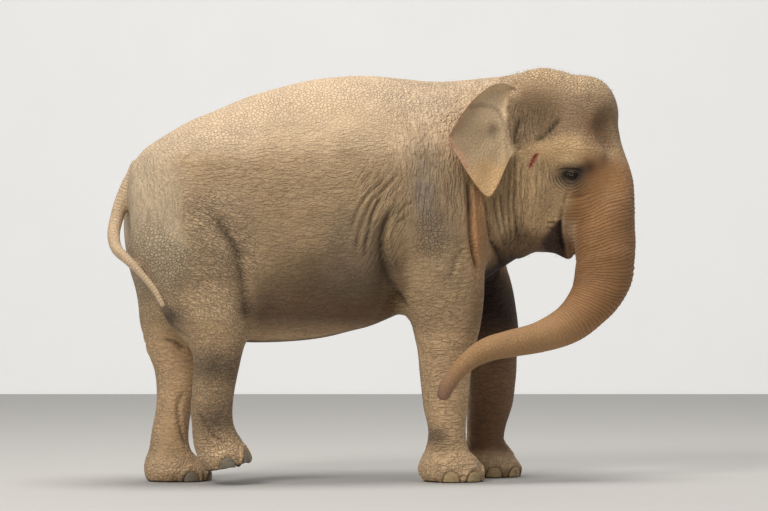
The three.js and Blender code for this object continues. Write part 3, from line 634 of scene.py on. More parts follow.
def tail_piece(around=22):
    """The tail, pulled out ring by ring along its middle line."""
    bm = bmesh.new()
    first = bmesh.ops.create_circle(bm, segments=around, radius=1)["verts"]
    shapes = list(zip(tail_tube.at, tail_tube.tangent, tail_tube.depth))
    tip, end, _ = shapes[-1]
    shapes += [(tip + end * r * 16, end, 17 * math.sqrt(1 - r * r)) for r in (0.35, 0.65, 0.87)]
    turns = np.arange(around) * 2 * math.pi / around

    def set_ring(verts, at, tangent, radius):
        side = np.array([-tangent[1], tangent[0], 0])
        side /= np.linalg.norm(side)
        up = np.cross(tangent, side)
        for vert, turn in zip(verts, turns):
            vert.co = metres(at + radius * (math.cos(turn) * up + math.sin(turn) * side))

    set_ring(first, *shapes[0])
    ring, edges = list(first), list(bm.edges)
    for shape in shapes[1:]:
        grown = bmesh.ops.extrude_edge_only(bm, edges=edges)["geom"]
        fresh = [g for g in grown if isinstance(g, bmesh.types.BMVert)]
        edges = [g for g in grown if isinstance(g, bmesh.types.BMEdge) and len(g.link_faces) == 1]
        ring = [next(e.other_vert(old) for e in old.link_edges if e.other_vert(old) in fresh) for old in ring]
        set_ring(ring, *shape)
    bmesh.ops.contextual_create(bm, geom=first)
    bmesh.ops.contextual_create(bm, geom=ring)
    bmesh.ops.recalc_face_normals(bm, faces=bm.faces)
    return new_piece("tail", bm)


def unite(piece, others):
    """Joins closed pieces into one closed mesh."""
    for other in others:
        union = piece.modifiers.new("join", "BOOLEAN")
        union.operation = "UNION"
        union.solver = "EXACT"
        union.object = other
        apply_modifiers(piece)
        bpy.data.meshes.remove(other.data)


def refine(piece, wanted):
    """Cuts the faces that are coarser than the wanted size, in metres, at their middle."""
    bm = bmesh.new()
    bm.from_mesh(piece.data)
    middles = np.array([f.calc_center_median() for f in bm.faces])
    sizes = np.array([max(e.calc_length() for e in f.edges) for f in bm.faces])
    coarse = sizes > 1.45 * wanted(plan(middles))
    edges = list(dict.fromkeys(e for f, cut in zip(bm.faces, coarse) if cut for e in f.edges))
    bmesh.ops.subdivide_edges(bm, edges=edges, cuts=1, use_grid_fill=True, use_single_edge=True)
    bm.to_mesh(piece.data)
    bm.free()


# ------------------------------------------------------------------ folds
# Folds of the right side, pressed into the skin: axes, depth, half width in front and behind, points.
# A pair gives the value at both ends. "head" points are a, b, z, and the others are x, y, z. Each is repeated
# on the left, "leg" ones as far forward or back as the leg there stands; "only" ones are not.
FOLDS = {
    "cheek_main": ("head", 17, 10, 12, [
        (-1, -319, 1983), (-9, -314, 1917), (-14, -306, 1846), (-18, -302, 1751), (-20, -294, 1656),
        (-19, -273, 1560), (-16, -237, 1471), (-8, -174, 1401)]),
    "cheek_second": ("head", 9, 9, 9, [
        (41, -292, 1930), (17, -293, 1846), (13, -290, 1751), (11, -281, 1656), (11, -259, 1561),
        (22, -215, 1466), (38, -160, 1407)]),
    "cheek_back": ("head", 11, 10, 10, [
        (-36, -326, 1917), (-44, -318, 1828), (-50, -319, 1739), (-55, -314, 1649), (-52, -290, 1548),
        (-50, -251, 1453), (-47, -191, 1382)]),
    "cheek_third": ("head", 7, 8, 9, [
        (70, -284, 1858), (51, -282, 1769), (48, -270, 1650), (58, -236, 1531)]),
    "cheek_fourth": ("head", 5, 8, 8, [
        (126, -289, 1917), (111, -278, 1810), (104, -271, 1709), (111, -250, 1608)]),
    "cheek_fifth": ("head", 4, 7, 7, [(149, -282, 1845), (141, -275, 1762), (139, -266, 1679)]),
    "temple_edge": ("head", 12, 26, 9, [
        (262, -255, 2175), (212, -265, 2131), (181, -263, 2096), (139, -266, 2058), (80, -276, 2037)]),
    "ear_canal": ("head", 15, 12, 15, [
        (18, -296, 2169), (10, -313, 2108), (-6, -325, 2048), (-8, -323, 1984)]),
    "ear_notch": ("head", 13, 13, 13, [(12, -318, 2052), (14, -322, 2010), (22, -318, 1972)]),
    "trunk_seam": ("head", (3, 16), (7, 9), (7, 13), [
        (308, -262, 1745), (300, -263, 1725), (285, -263, 1690), (270, -250, 1645), (253, -232, 1595),
        (243, -212, 1548), (240, -203, 1525)]),
    "mouth_slit": ("head", (20, 30), 8, (12, 22), [
        (246, -215, 1560), (241, -205, 1536), (237, -180, 1495), (233, -146, 1454), (234, -100, 1415),
        (249, -59, 1374)]),
    "mouth_corner": ("head", 12, 8, 8, [
        (160, -226, 1539), (185, -222, 1542), (213, -218, 1544), (246, -207, 1546)]),
    "jaw_line": ("head", 7, 9, 9, [
        (150, -222, 1512), (180, -214, 1500), (210, -196, 1485), (228, -170, 1470)]),
    "forehead_line": ("head", 9, 7, 7, [(393, -200, 2311), (420, -188, 2305), (453, -169, 2293)]),
    "forehead_second": ("head", 6, 8, 8, [(330, -226, 2290), (380, -212, 2282), (430, -190, 2268)]),
    "neck_back": ("body", 34, 14, 24, [
        (806, -462, 1800), (810, -467, 1731), (813, -481, 1607), (822, -474, 1466), (847, -450, 1342),
        (887, -412, 1230)]),
    "neck_front": ("body", 30, 14, 18, [
        (924, -390, 1700), (928, -388, 1630), (940, -375, 1540), (982, -311, 1452), (1043, -238, 1375),
        (1094, -126, 1281)]),
    "neck_third": ("body", 13, 11, 13, [
        (993, -339, 1720), (1005, -330, 1640), (1030, -305, 1540), (1062, -265, 1453), (1108, -211, 1370)]),
    "neck_fourth": ("body", 14, 10, 13, [
        (1035, -321, 1738), (1051, -308, 1619), (1079, -273, 1489), (1127, -212, 1382)]),
    "armpit": ("leg", (24, 95), (12, 20), (20, 110), [
        (349, -547, 1626), (300, -558, 1566), (272, -566, 1486), (266, -567, 1429), (275, -560, 1360),
        (300, -534, 1272), (337, -489, 1196), (390, -399, 1107), (430, -325, 1047), (455, -280, 1000)]),
    "flap": ("leg", 13, 10, 13, [
        (277, -550, 1720), (225, -566, 1640), (198, -570, 1586), (180, -576, 1511), (154, -579, 1396),
        (156, -568, 1304)]),
    "side_first": ("leg", 10, 9, 12, [
        (363, -515, 1823), (277, -548, 1735), (190, -560, 1650), (150, -576, 1560), (110, -579, 1450),
        (92, -568, 1330)]),
    "side_second": ("leg", 8, 9, 11, [
        (290, -530, 1810), (220, -550, 1740), (140, -565, 1660), (90, -577, 1567), (50, -584, 1447)]),
    "side_third": ("leg", 6, 8, 9, [(455, -538, 1658), (389, -543, 1626), (335, -552, 1569)]),
    "side_fourth": ("leg", 6, 7, 8, [(430, -541, 1590), (385, -543, 1555), (335, -553, 1531)]),
    "shoulder_low": ("leg", 7, 22, 22, [(755, -500, 1394), (706, -502, 1306), (667, -486, 1182)]),
    "flank": ("body", (14, 56), (32, 26), (60, 74), [
        (-775, -529, 1621), (-690, -541, 1509), (-607, -539, 1394), (-571, -522, 1267), (-545, -497, 1140),
        (-515, -454, 1025), (-490, -388, 919)]),
    "thigh_back": ("body", 12, 14, 18, [
        (-960, -330, 1010), (-930, -300, 930), (-890, -270, 860), (-840, -300, 815)]),
    "knee_back": ("only", 20, 16, 12, [(-932, 112, 842), (-869, 95, 834), (-801, 100, 790)]),
    "tendon": ("only", 12, 12, 14, [(-804, 97, 552), (-845, 92, 441), (-828, 96, 328), (-782, 108, 199)]),
    "ankle_first": ("body", 8, 8, 8, [
        (616, -307, 170), (660, -336, 203), (703, -350, 217), (761, -344, 238), (801, -320, 262)]),
    "ankle_second": ("body", 5, 7, 7, [
        (616, -325, 147), (666, -348, 175), (729, -357, 193), (800, -338, 193)]),
    "ankle_third": ("body", 6, 7, 7, [(733, -342, 284), (773, -336, 268), (806, -314, 273)]),
    "raised_ankle": ("only", 12, 12, 12, [
        (-790, -290, 420), (-762, -303, 383), (-695, -323, 290), (-617, -331, 244)]),
    "raised_second": ("only", 7, 9, 9, [(-775, -282, 323), (-727, -314, 249), (-644, -348, 197)]),
    "thigh_line": ("only", 8, 12, 12, [(-990, -310, 990), (-958, -323, 955), (-850, -381, 862)]),
}


def leg_reach(p):
    """How much further forward the left foreleg's shoulder stands than the right one's, at each height."""
    return along(LEGS["fore_left"], p[:, 2])[:, 0] - along(LEGS["fore_right"], p[:, 2])[:, 0]


def fold_lines():
    """Every fold as (points on the skin, depths, half widths in front, half widths behind, side)."""
    lines = []
    ends = lambda value: value if isinstance(value, tuple) else (value, value)
    for axes, depth, front, behind, points in FOLDS.values():
        right = np.array(points, float)
        left = right * [1, -1, 1]
        if axes == "head":
            right, left = from_head(right), from_head(left)
        if axes == "leg":
            left[:, 0] += leg_reach(right)
        for line, side in ((right, 1),) if axes == "only" else ((right, 1), (left, -1)):
            path = smooth_path(line, np.linspace(0, 0.9999, 5 * len(line)))
            path = settle(path, body_field, rounds=3, reach=60)
            lines.append((path, ends(depth), ends(front), ends(behind), side))
    return lines


def line_reach(p, path):
    """From points to a path: distance, share of its length where each is nearest, and the way there."""
    start, leg = path[:-1], np.diff(path, axis=0)
    square = np.maximum((leg * leg).sum(1), 1e-9)
    share = np.clip((p @ leg.T - (start * leg).sum(1)) / square, 0, 1)
    gap = p[:, None] - start - share[..., None] * leg
    far = (gap * gap).sum(2)
    i = far.argmin(1)
    rows = np.arange(len(p))
    return np.sqrt(far[rows, i]), (i + share[rows, i]) / len(leg), gap[rows, i], leg[i]


def near_path(p, path, reach):
    return np.flatnonzero(((p > path.min(0) - reach) & (p < path.max(0) + reach)).all(1))


def pressed_folds(p, normal, lines):
    """Shift and painted shade of all folds: a pressed line with a low roll of skin in front of it."""
    shift, crease_shade = np.zeros(len(p)), np.zeros(len(p))
    for path, depth, front, behind, side in lines:
        near = near_path(p, path, 3.2 * max(front + behind))
        if not len(near):
            continue
        distance, share, gap, along_path = line_reach(p[near], path)
        across = (np.cross(along_path, normal[near]) * gap).sum(1) * side
        deep, ahead, back = (np.interp(share, (0, 1), ends) for ends in (depth, front, behind))
        width = np.where(across > 0, back, ahead)
        fade = ramp(0, 0.16, share) * ramp(1, 0.84, share)
        dip = np.exp(-((distance / width) ** 2))
        roll = np.exp(-(((distance - 2.1 * width) / (0.9 * width)) ** 2)) * np.minimum(deep, 18)
        shift[near] += fade * (0.3 * roll * ramp(60, 30, width) - deep * dip)
        soft = 0.8 if front[0] > 30 else 1.0
        # painted shade along each fold's pressed line
        dark = np.exp(-((distance / (0.75 * np.minimum(width, 34))) ** 2))
        crease_shade[near] = np.maximum(crease_shade[near], np.minimum(1, deep / 15) * soft * fade * dark)
    return shift, crease_shade


def fold_distance(p, lines):
    best = np.full(len(p), 1e3)
    for path, depth, *_ in lines:
        near = near_path(p, path, 70)
        if len(near) and depth[1] > 6:
            best[near] = np.minimum(best[near], line_reach(p[near], path)[0])
    return best


# ------------------------------------------------------------------ eyes and toes
def eye_places():
    """The middle of each eyeball in the plan and the way that it looks, right then left."""
    places = []
    for side in (-1, 1):
        start = from_head([EYE[0], 0, EYE[1]])
        out = head_way(0, side)[None]
        places.append((comes_out(start, out, face_field)[0] - EYE_DEPTH * out[0], out[0]))
    return places


def eye_axes(p, middle, out):
    """Each point's place in front of an eye: forward, up and outward from the eyeball's middle."""
    d = p - middle
    return d @ head_way(1, 0), d[:, 2], d @ out


def almond(f, u):
    """1 on the edge of the lids' opening, less inside: its front corner lies a little lower."""
    u = u + 0.12 * f + 1
    half = np.where(u > 0, UPPER_LID, LOWER_LID)
    flat, high = (f / LID_REACH) ** 2, (u / half) ** 2
    return np.sqrt(flat + high + 0.5 * flat * high)


def eye_detail(p):
    """The folded skin round both eyes: shift along the skin's normal, and how black, brown and red it is,
    with painted shade in the grooves of the rings below each eye and in the fold over its upper lid.
    """
    shift, dark, lid, red = np.zeros((4, len(p)))
    for middle, out in eye_places():
        f, u, o = eye_axes(p, middle, out)
        near = np.flatnonzero((np.hypot(f, u) < 260) & (o > -140))
        f, u = f[near], u[near]
        waver = noise(p[near], 52, 31)
        far = np.hypot(f / 1.08, u + 6) + 5 * waver
        angle = np.arctan2(u + 6, f)
        below = ramp(1.75, 0.95, np.abs(angle + 2.0))  # straight below and to the rear of it
        rear = ramp(0.95, 0.5, np.abs(np.abs(angle) - math.pi))
        ring = -(1 - np.abs(np.sin(math.pi * (far - 48) / 18))) ** 1.5
        strength = 6.0 * below * ramp(34, 48, far) * ramp(142, 104, far) * (0.75 + 0.35 * waver)
        crow = 0.7 + 0.5 * noise(p[near], 90, 32)
        strength += 2.4 * rear * ramp(60, 84, far) * ramp(235, 170, far) * crow
        over = u - 34 + 0.0022 * (f + 12) ** 2  # height over the fold of the upper lid
        over_fades = ramp(82, 48, np.abs(f + 10))
        fold = -8 * np.exp(-((over / 4.6) ** 2)) * over_fades
        lid_crease = -4 * np.exp(-(((u - 21.5 + 0.006 * f * f) / 2.8) ** 2)) * ramp(36, 18, np.abs(f))
        edge = -6 * np.exp(-(((far - 141) / 8) ** 2)) * ramp(0.75, 0.35, np.abs(angle + 1.25))
        shape = 13 * patch(f, u, (-14, 66), (54, 24)) - 9 * patch(f, u, (72, 34), (34, 26))
        shape += 8 * patch(f, u, (-8, -74), (58, 38)) - 7 * np.exp(-((far / 52) ** 2))
        shift[near] += strength * (ring + 0.45) + fold + lid_crease + edge + shape
        # the black round the opening is partly a stain and partly painted shade under the upper lid
        core = np.exp(-((((f + 2) / 58) ** 2 + ((u + 0.12 * f + 4) / 28) ** 2) ** 1.7))
        # painted shade in the grooves of the rings below the eye and in the fold over the upper lid, used in
        # both the black and the darker zone round the eye
        lines = 0.087 * strength * -ring + 0.4 * np.exp(-((over / 6) ** 2)) * over_fades
        black = core + 0.8 * patch(f, u, (64, 24), (38, 28)) + 0.6 * lines
        dark[near] = np.maximum(dark[near], np.clip(black, 0, 1))
        around = 0.9 * np.exp(-((((f - 4) / 104) ** 2 + ((u + 14) / 68) ** 2) ** 1.4)) + 0.8 * lines
        lid[near] = np.maximum(lid[near], np.clip(around, 0, 1))
        corner = 0.8 * patch(f, u, (112, 48), (34, 46)) + 0.35 * patch(f, u, (30, -120), (40, 16))
        red[near] = np.maximum(red[near], corner)
    return shift, dark, lid, red


def shape_lids(p):
    """Lays the skin round each eye on to the ball and opens the lids over it."""
    p = p.copy()
    for middle, out in eye_places():
        f, u, o = eye_axes(p, middle, out)
        edge = almond(f, u)
        near = np.flatnonzero((edge < 2.6) & (o > -60))
        f, u, o, edge = f[near], u[near], o[near], edge[near]
        square = f * f + u * u
        over = EYE_RADIUS + 5
        rim = 2.2 * np.exp(-(((edge - 1.14) / 0.15) ** 2))
        lid = np.where(square < over**2, np.sqrt(np.maximum(over**2 - square, 0)), -9) + rim
        laid = o + ramp(2.5, 1.35, edge) * (np.maximum(lid, o - 7) - o)
        under = np.sqrt(np.maximum(EYE_RADIUS**2 - square, 0)) - 5
        p[near] += (under + (laid - under) * ramp(0.88, 1.0, edge) - o)[:, None] * out
    return p


def nail_places():
    """Name, start inside the leg, outward direction, half width, height and half thickness of each nail."""
    made = []
    for leg, rows in LEGS.items():
        count, step, turned, *size = NAILS[leg[:4]]
        side = -1 if leg.endswith("right") else 1
        x, y, reach = rows[1][1:4]
        for n in range(count):
            angle = math.radians(side * turned + (n - (count - 1) / 2) * step)
            out = np.array([math.cos(angle), math.sin(angle), 0])
            base = NAIL_CLEARANCE
            if leg == "hind_right":
                base += RAISED_SOLE[1] + (x + out[0] * reach - RAISED_SOLE[0]) * math.tan(RAISED_SOLE[2])
            made.append((f"nail_{leg}_{n + 1}", np.array([x, y, base]), out, *size))
    return made


def toe_detail(p):
    """Swells the skin over each nail and presses a line round it: shift, and painted shade in the line."""
    shift, crease_shade = np.zeros(len(p)), np.zeros(len(p))
    for _, start, out, width, height, _ in nail_places():
        d = p - start
        beside = d @ np.cross(out, [0, 0, 1])
        near = np.flatnonzero((d @ out > 60) & (np.abs(d[:, 2]) < 190) & (np.abs(beside) < 130))
        s, u = beside[near], d[near, 2]
        r = np.hypot(s / width, np.maximum(u, 0) / height)
        low = ramp(-30, 4, u)
        swell, line = (np.exp(-(((r - at) / wide) ** 2)) for at, wide in ((1.42, 0.26), (1.06, 0.10)))
        shift[near] += low * (9 * swell - 4 * line)
        shift[near] -= 7 * np.exp(-(((s - 1.65 * width) / 13) ** 2)) * ramp(110, 40, u)
        # painted shade in the line round the nail
        crease_shade[near] = np.maximum(crease_shade[near], low * 0.45 * np.exp(-(((r - 1.04) / 0.10) ** 2)))
    return shift, crease_shade


# ------------------------------------------------------------------ kinds of skin and their soft folds
def skin_marks(p, normal):
    """What kind of skin each point has, as shares from 0 to 1, with its place in the body's several axes."""
    x, y, z = p.T
    a, b, _ = to_head(p).T
    far, run, turn = trunk_tube.look(p).T
    head = ramp(-190, -90, a) * ramp(1150, 1300, z)
    begins = np.interp(z, (1250, 1550, 1750, 1900), (225, 243, 258, 330))
    soft_edge = 90 + 40 * ramp(1550, 1750, z)
    upper = ramp(-20, soft_edge, a - begins + 22 * noise(p, 90, 43)) * ramp(2010, 1850, z)
    trunk = np.where(z > 1300, upper, np.where(a > 200, 1, ramp(46, 12, far)))
    ears, share, ear_s = np.zeros((3, len(p)))
    for side in (-1, 1):
        near = near_ear(p, side)
        distance, s, r = ear_look(p[near], side)
        on = ramp(16, 5, distance) * ramp(-30, 40, s)
        ears[near] = np.maximum(ears[near], on)
        share[near] = np.where(on > 0.2, r, share[near])
        ear_s[near] = np.where(on > 0.2, s, ear_s[near])
    tail, tail_run = np.zeros((2, len(p)))
    near = np.flatnonzero(x < TAIL_REACH)
    distance, tail_run[near], _ = tail_tube.look(p[near]).T
    tail[near] = ramp(30, 8, distance)
    stray = 75 * noise(p, 240, 40) + 25 * noise(p, 90, 41)  # borders between kinds of skin wander
    reach = np.where(y > 0, leg_reach(p), 0)
    xs = x - reach * ramp(2000, 1500, z) * ramp(-100, 300, x)  # the shoulder's own forward place
    body = (1 - head) * (1 - trunk) * (1 - tail) * (1 - ears)
    neck = ramp(820, 960, x) * (1 - head) * ramp(1150, 1300, z) * (1 - ears)
    shoulder = ramp(230, 500, xs + stray) * ramp(900, 780, xs) * ramp(1000, 1200, z) * body
    slant = ramp(40, 190, xs) * ramp(450, 340, xs) * ramp(1150, 1330, z) * ramp(1960, 1740, z) * body
    rump = ramp(-800, -1010, x + stray) * ramp(1000, 1200, z) * body
    thigh = ramp(-400, -640, x + stray) * ramp(880, 1050, z) * ramp(1800, 1600, z) * body * (1 - rump)
    return dict(
        x=x, y=y, z=z, a=a, b=b, xs=xs, reach=reach, top=np.clip(normal[:, 2], -1, 1), run=run, turn=turn,
        head=head * (1 - trunk) * (1 - ears), trunk=trunk, ears=ears, ear_share=share, ear_s=ear_s, tail=tail,
        tail_run=tail_run, body=body, neck=neck, shoulder=shoulder, slant=slant, rump=rump, thigh=thigh,
        leg=ramp(1000, 820, z) * body * ramp(80, 200, np.abs(y)), foot=ramp(190, 110, sole_level(p)) * body,
    )


def stripes(across, period, seed_points, wobble, seed):
    """Soft ridges with narrow grooves between them, -1 in a groove, every `period` along `across`."""
    t = across / period + wobble * noise(seed_points, period * 3.2, seed)
    return -(1 - np.abs(np.sin(math.pi * t))) ** 2.2


def soft_folds(p, m, level):
    """The larger wrinkles as shape. `level` says how fine the mesh is at each point."""
    fine, finest = ramp(0.5, 1, level), ramp(1.5, 2, level)
    x, z, xs, a, head, body = (m[k] for k in ("x", "z", "xs", "a", "head", "body"))
    shift = 6 * noise(p, 260, 1) + 3 * noise(p, 120, 2) * (1 - 0.6 * m["trunk"]) * (1 - m["ears"])
    # slanting folds behind the shoulder
    uneven = 0.7 + 0.45 * noise(p, 150, 12)
    before = xs < np.interp(z, (1000, 1200, 1486, 1626, 1900), (425, 335, 268, 345, 480))
    slant = m["slant"] * np.where(before, 1, 0.25) * finest * uneven
    shift += 7.5 * slant * stripes(0.85 * xs - 0.53 * z, 42, p, 0.42, 3)
    # upright folds of the neck, cheek, temple and shoulder
    outer = head * ramp(90, 160, np.abs(m["b"]))
    cheek = outer * ramp(230, 60, a) * ramp(1990, 1860, z)
    temple = outer * ramp(240, 150, a) * ramp(1980, 2060, z) * ramp(2250, 2160, z)
    shift += 6.0 * (m["neck"] + cheek) * fine * uneven * stripes(a + 0.02 * z, 40, p * [1, 1, 0.25], 0.6, 4)
    shift += 3.0 * temple * fine * stripes(a + 0.25 * z, 38, p, 0.8, 13)
    high = m["shoulder"] * ramp(1430, 1600, z) * ramp(500, 600, xs)
    shift += 3.5 * high * fine * uneven * stripes(xs, 46, p * [1, 1, 0.3], 0.6, 5)
    # level wrinkles of the flank and the legs
    flank = body * ramp(120, -60, xs) * ramp(-900, -640, x) * ramp(980, 1120, z) * ramp(2150, 1900, z)
    shift += 2.6 * flank * fine * stripes(z + 0.05 * x, 40, p * [0.3, 1, 1], 1.2, 6)
    shift += 2.0 * m["leg"] * fine * (1 - m["foot"]) * stripes(z, 38, p * [0.5, 0.5, 1], 1.0, 7)
    # rings round the trunk and the root of the tail
    rings = m["trunk"] * finest * ramp(160, 440, m["run"]) * ramp(1750, 1150, m["run"]) * uneven
    shift += 4.6 * rings * stripes(ring_run(m), 25, p * 0.6, 0.5, 9)
    shift += 2.5 * m["tail"] * ramp(420, 150, m["tail_run"]) * stripes(m["tail_run"], 26, p, 0.3, 10)
    return shift * (1 - 0.75 * ramp(60, 10, sole_level(p)))


def ring_run(m):
    """Length along the trunk, leaning so that its rings rise toward the front where it bends."""
    lean = 16 + 52 * ramp(150, 420, m["run"]) * ramp(1250, 800, m["run"])
    return m["run"] - lean * np.cos(m["turn"])


# ------------------------------------------------------------------ materials
class Recipe:
    """Adds nodes to a material's tree, each in one line."""

    def __init__(self, name):
        self.material = bpy.data.materials.new(name)
        self.material.use_nodes = True
        self.nodes, self.links = self.material.node_tree.nodes, self.material.node_tree.links
        self.shader = self.nodes["Principled BSDF"]

    def add(self, kind, values=None, out=0, **settings):
        node = self.nodes.new("ShaderNode" + kind)
        for name, value in settings.items():
            setattr(node, name, value)
        for name, value in (values or {}).items():
            self.put(node.inputs[name], value)
        return node.outputs[out]

    def put(self, socket, value):
        if isinstance(value, bpy.types.NodeSocket):
            self.links.new(value, socket)
        else:
            socket.default_value = value

    def math(self, operation, a, b=0.0, c=0.0, clamp=False):
        return self.add("Math", {0: a, 1: b, 2: c}, operation=operation, use_clamp=clamp)

    def spread(self, value, low, high, to_low=0.0, to_high=1.0):
        values = {"Value": value, "From Min": low, "From Max": high, "To Min": to_low, "To Max": to_high}
        return self.add("MapRange", values, interpolation_type="SMOOTHSTEP")

    def mix(self, share, a, b, mode="MIX"):
        node = self.nodes.new("ShaderNodeMix")
        node.data_type, node.blend_type = "RGBA", mode
        self.put(node.inputs["Factor"], share)
        self.put(node.inputs["A"], a)
        self.put(node.inputs["B"], b)
        return node.outputs["Result"]

    def attribute(self, name):
        node = self.nodes.new("ShaderNodeAttribute")
        node.attribute_name = name
        return node

    def channels(self, name):
        """The three parts and the alpha of a painted attribute."""
        node = self.attribute(name)
        parts = self.nodes.new("ShaderNodeSeparateColor")
        self.links.new(node.outputs["Color"], parts.inputs["Color"])
        return [*parts.outputs, node.outputs["Alpha"]]

    def place(self, name="Object"):
        return self.nodes.new("ShaderNodeTexCoord").outputs[name]

    def stretched(self, place, turn, size):
        """Coordinates drawn out by `size` along axes turned by `turn` about the cross axis."""
        values = {"Vector": place, "Rotation": (0, turn, 0), "Scale": size}
        return self.add("Mapping", values, vector_type="TEXTURE")

    def noise(self, place, scale=1.0, detail=2.0, rough=0.5, bent=0.0):
        values = {"Vector": place, "Scale": scale, "Detail": detail, "Roughness": rough, "Distortion": bent}
        return self.add("TexNoise", values)

    def furrows(self, place):
        """1 on the ridges and 0 in narrow furrows that wander along the drawn-out axis."""
        away = self.math("ABSOLUTE", self.math("SUBTRACT", self.noise(place, 1.0, 1.5, 0.55, 0.5), 0.5))
        return self.spread(away, 0.0, 0.10)

    def cracks(self, place, scale, width):
        """1 in the narrow gaps between the cells of a net."""
        edges = self.add("TexVoronoi", {"Vector": place, "Scale": scale}, feature="DISTANCE_TO_EDGE")
        return self.spread(edges, 0.0, width, 1.0, 0.0)

    def bump(self, height, strength, distance):
        return self.add("Bump", {"Height": height, "Strength": strength, "Distance": distance})

    def finish(self, values):
        """Sets the shader's own sockets."""
        for name, value in values.items():
            self.put(self.shader.inputs[name], value)


def srgb(r, g, b, a=1.0):
    """A colour given as on a screen, 0 to 255, in the renderer's own linear numbers."""
    part = lambda c: c / 12.92 if c <= 0.04045 else ((c + 0.055) / 1.055) ** 2.4
    return tuple(part(c / 255) for c in (r, g, b)) + (a,)


def screen(colour, most=255):
    """A setting's screen colour, each part out of 1, in the same numbers."""
    return srgb(*[c * most for c in colour])


def hide_material(hide):
    """Dry wrinkled skin: the painted colour, broken by furrows, cracks, rings, blotches and dust, with
    painted shade in the furrows and along the pressed folds.
    """
    r = Recipe("elephant_hide")
    place = r.place()
    level, upright, slant, net = r.channels("wrinkles")
    pebble, ring_share, crease_shade, dust = r.channels("marks")
    painted = r.attribute("hide").outputs["Color"]
    along_trunk = r.attribute("run").outputs["Vector"]
    add = lambda *values: r.math("ADD", *values)
    times = lambda *values: r.math("MULTIPLY", *values)
    less = lambda *values: r.math("SUBTRACT", *values)

    stir = r.add("TexNoise", {"Vector": place, "Scale": 9.0, "Detail": 1.0}, out=1)
    stir = r.add("VectorMath", {0: stir, 1: (0.5, 0.5, 0.5)}, operation="SUBTRACT")
    warped = r.add("VectorMath", {0: stir, 1: (0.034, 0.034, 0.034), 2: place}, operation="MULTIPLY_ADD")

    def lined(turn, long, wide, share):
        coarse = r.furrows(r.stretched(warped, math.radians(turn), (long, wide * 2.0, wide)))
        plates = r.stretched(warped, math.radians(turn), (long * 0.4, wide * 1.4, wide * 0.85))
        cracks = r.cracks(plates, 1.0, 0.20)
        return times(r.math("MULTIPLY_ADD", less(1.0, coarse), 0.55, times(cracks, 0.5)), share)

    gaps = add(lined(0, 0.15, 0.027, level), lined(90, 0.30, 0.032, upright))
    gaps = add(gaps, lined(-58, 0.26, 0.026, slant))
    gaps = add(gaps, lined(20, 0.095, 0.019, times(net, 1.6)))
    length = r.add("SeparateXYZ", {"Vector": along_trunk})
    stray = r.noise(r.add("Mapping", {"Vector": along_trunk, "Scale": (9.0, 6.0, 6.0)}), 1.0, 2.0)
    phase = r.math("MULTIPLY_ADD", length, math.pi / RING_PERIOD, times(stray, 7.0))
    rings = r.spread(r.math("ABSOLUTE", r.math("SINE", phase)), 0.0, 0.60, 0.30)
    gaps = add(gaps, times(less(1.0, rings), ring_share))
    gaps = add(gaps, times(r.cracks(warped, 48.0, 0.16), pebble))
    height = less(times(r.noise(place, 120.0, 3.0, 0.6), 0.30), gaps)

    patches = r.noise(place, 5.0, 4.0, 0.6)
    specks = r.noise(place, 60.0, 3.0, 0.65)
    shade = r.math("MULTIPLY_ADD", less(patches, 0.5), hide.mottle, 1.0)
    shade = r.math("MULTIPLY_ADD", less(specks, 0.5), hide.mottle * 1.1, shade)
    # painted shade in the furrows, cracks and rings, and along the pressed folds
    shade = less(shade, times(r.math("MINIMUM", gaps, 1.0), hide.furrow_shade))
    shade = less(shade, times(crease_shade, 0.55))
    shaded = r.mix(1.0, painted, r.add("CombineColor", {0: shade, 1: shade, 2: shade}), "MULTIPLY")
    powder = r.math("MULTIPLY", r.spread(r.noise(place, 26.0, 4.0, 0.7), 0.42, 0.62), dust, clamp=True)
    dusted = r.mix(times(powder, 0.42), shaded, screen(hide.dust))
    rough = r.math("MULTIPLY_ADD", specks, 0.12, 0.70)
    normal = r.bump(height, 1.0, hide.furrow_depth)
    dry = {"Specular IOR Level": 0.32, "Sheen Weight": 0.05, "Sheen Roughness": 0.6}
    r.finish({"Base Color": dusted, "Roughness": rough, "Normal": normal, **dry})
    return r.material


# ------------------------------------------------------------------ bristles
class OBJECT_OT_elephant_hair(bpy.types.Operator):
    """Stands sparse bristles on the crown, brow, chin and back, and lashes on the lids"""

    bl_idname = "object.elephant_hair"
    bl_label = "Bristles"

    def execute(self, context):
        hair = context.scene.elephant_hair
        rng = np.random.default_rng(7)
        p = plan(mesh_points(bpy.data.objects["skin"].data))
        p = p[np.lexsort(np.round(p, 2).T)]  # a steady order, so that the same points are drawn each time
        normal = outward(p, whole_field)
        m = skin_marks(p, normal)
        weight = m["head"] * ramp(0.1, 0.8, m["top"]) * ramp(2200, 2330, m["z"])
        weight += m["head"] * (0.6 * ramp(1560, 1480, m["z"]) + 0.05)
        weight += m["body"] * ramp(0.6, 0.95, m["top"]) * ramp(1900, 2150, m["z"]) * 0.10
        weight *= m["ears"] < 0.1
        roots = rng.choice(len(p), hair.count, p=weight / weight.sum())
        bm = bmesh.new()
        uv = bm.loops.layers.uv.new("OFBake")
        for at, out in zip(p[roots], normal[roots]):
            length = hair.length * 1000 * rng.uniform(0.45, 1.15)
            lie = np.array([-0.5, rng.normal(0, 0.25), -0.2]) + rng.normal(0, 0.25, 3)
            spike(bm, uv, at - 3 * out, out + 0.6 * lie, length + 3, 0.75)
        for at, tip in lash_roots(p):
            spike(bm, uv, at, tip, hair.lash * 1000 * rng.uniform(0.75, 1.1), 0.8)
        r = Recipe("bristle")
        colour = r.mix(r.noise(r.place(), 40.0, 2.0), srgb(96, 76, 56), srgb(168, 138, 104))
        r.finish({"Base Color": colour, "Roughness": 0.5})
        hand_over(new_piece("bristles", bm), r.material, "skin")
        return {"FINISHED"}


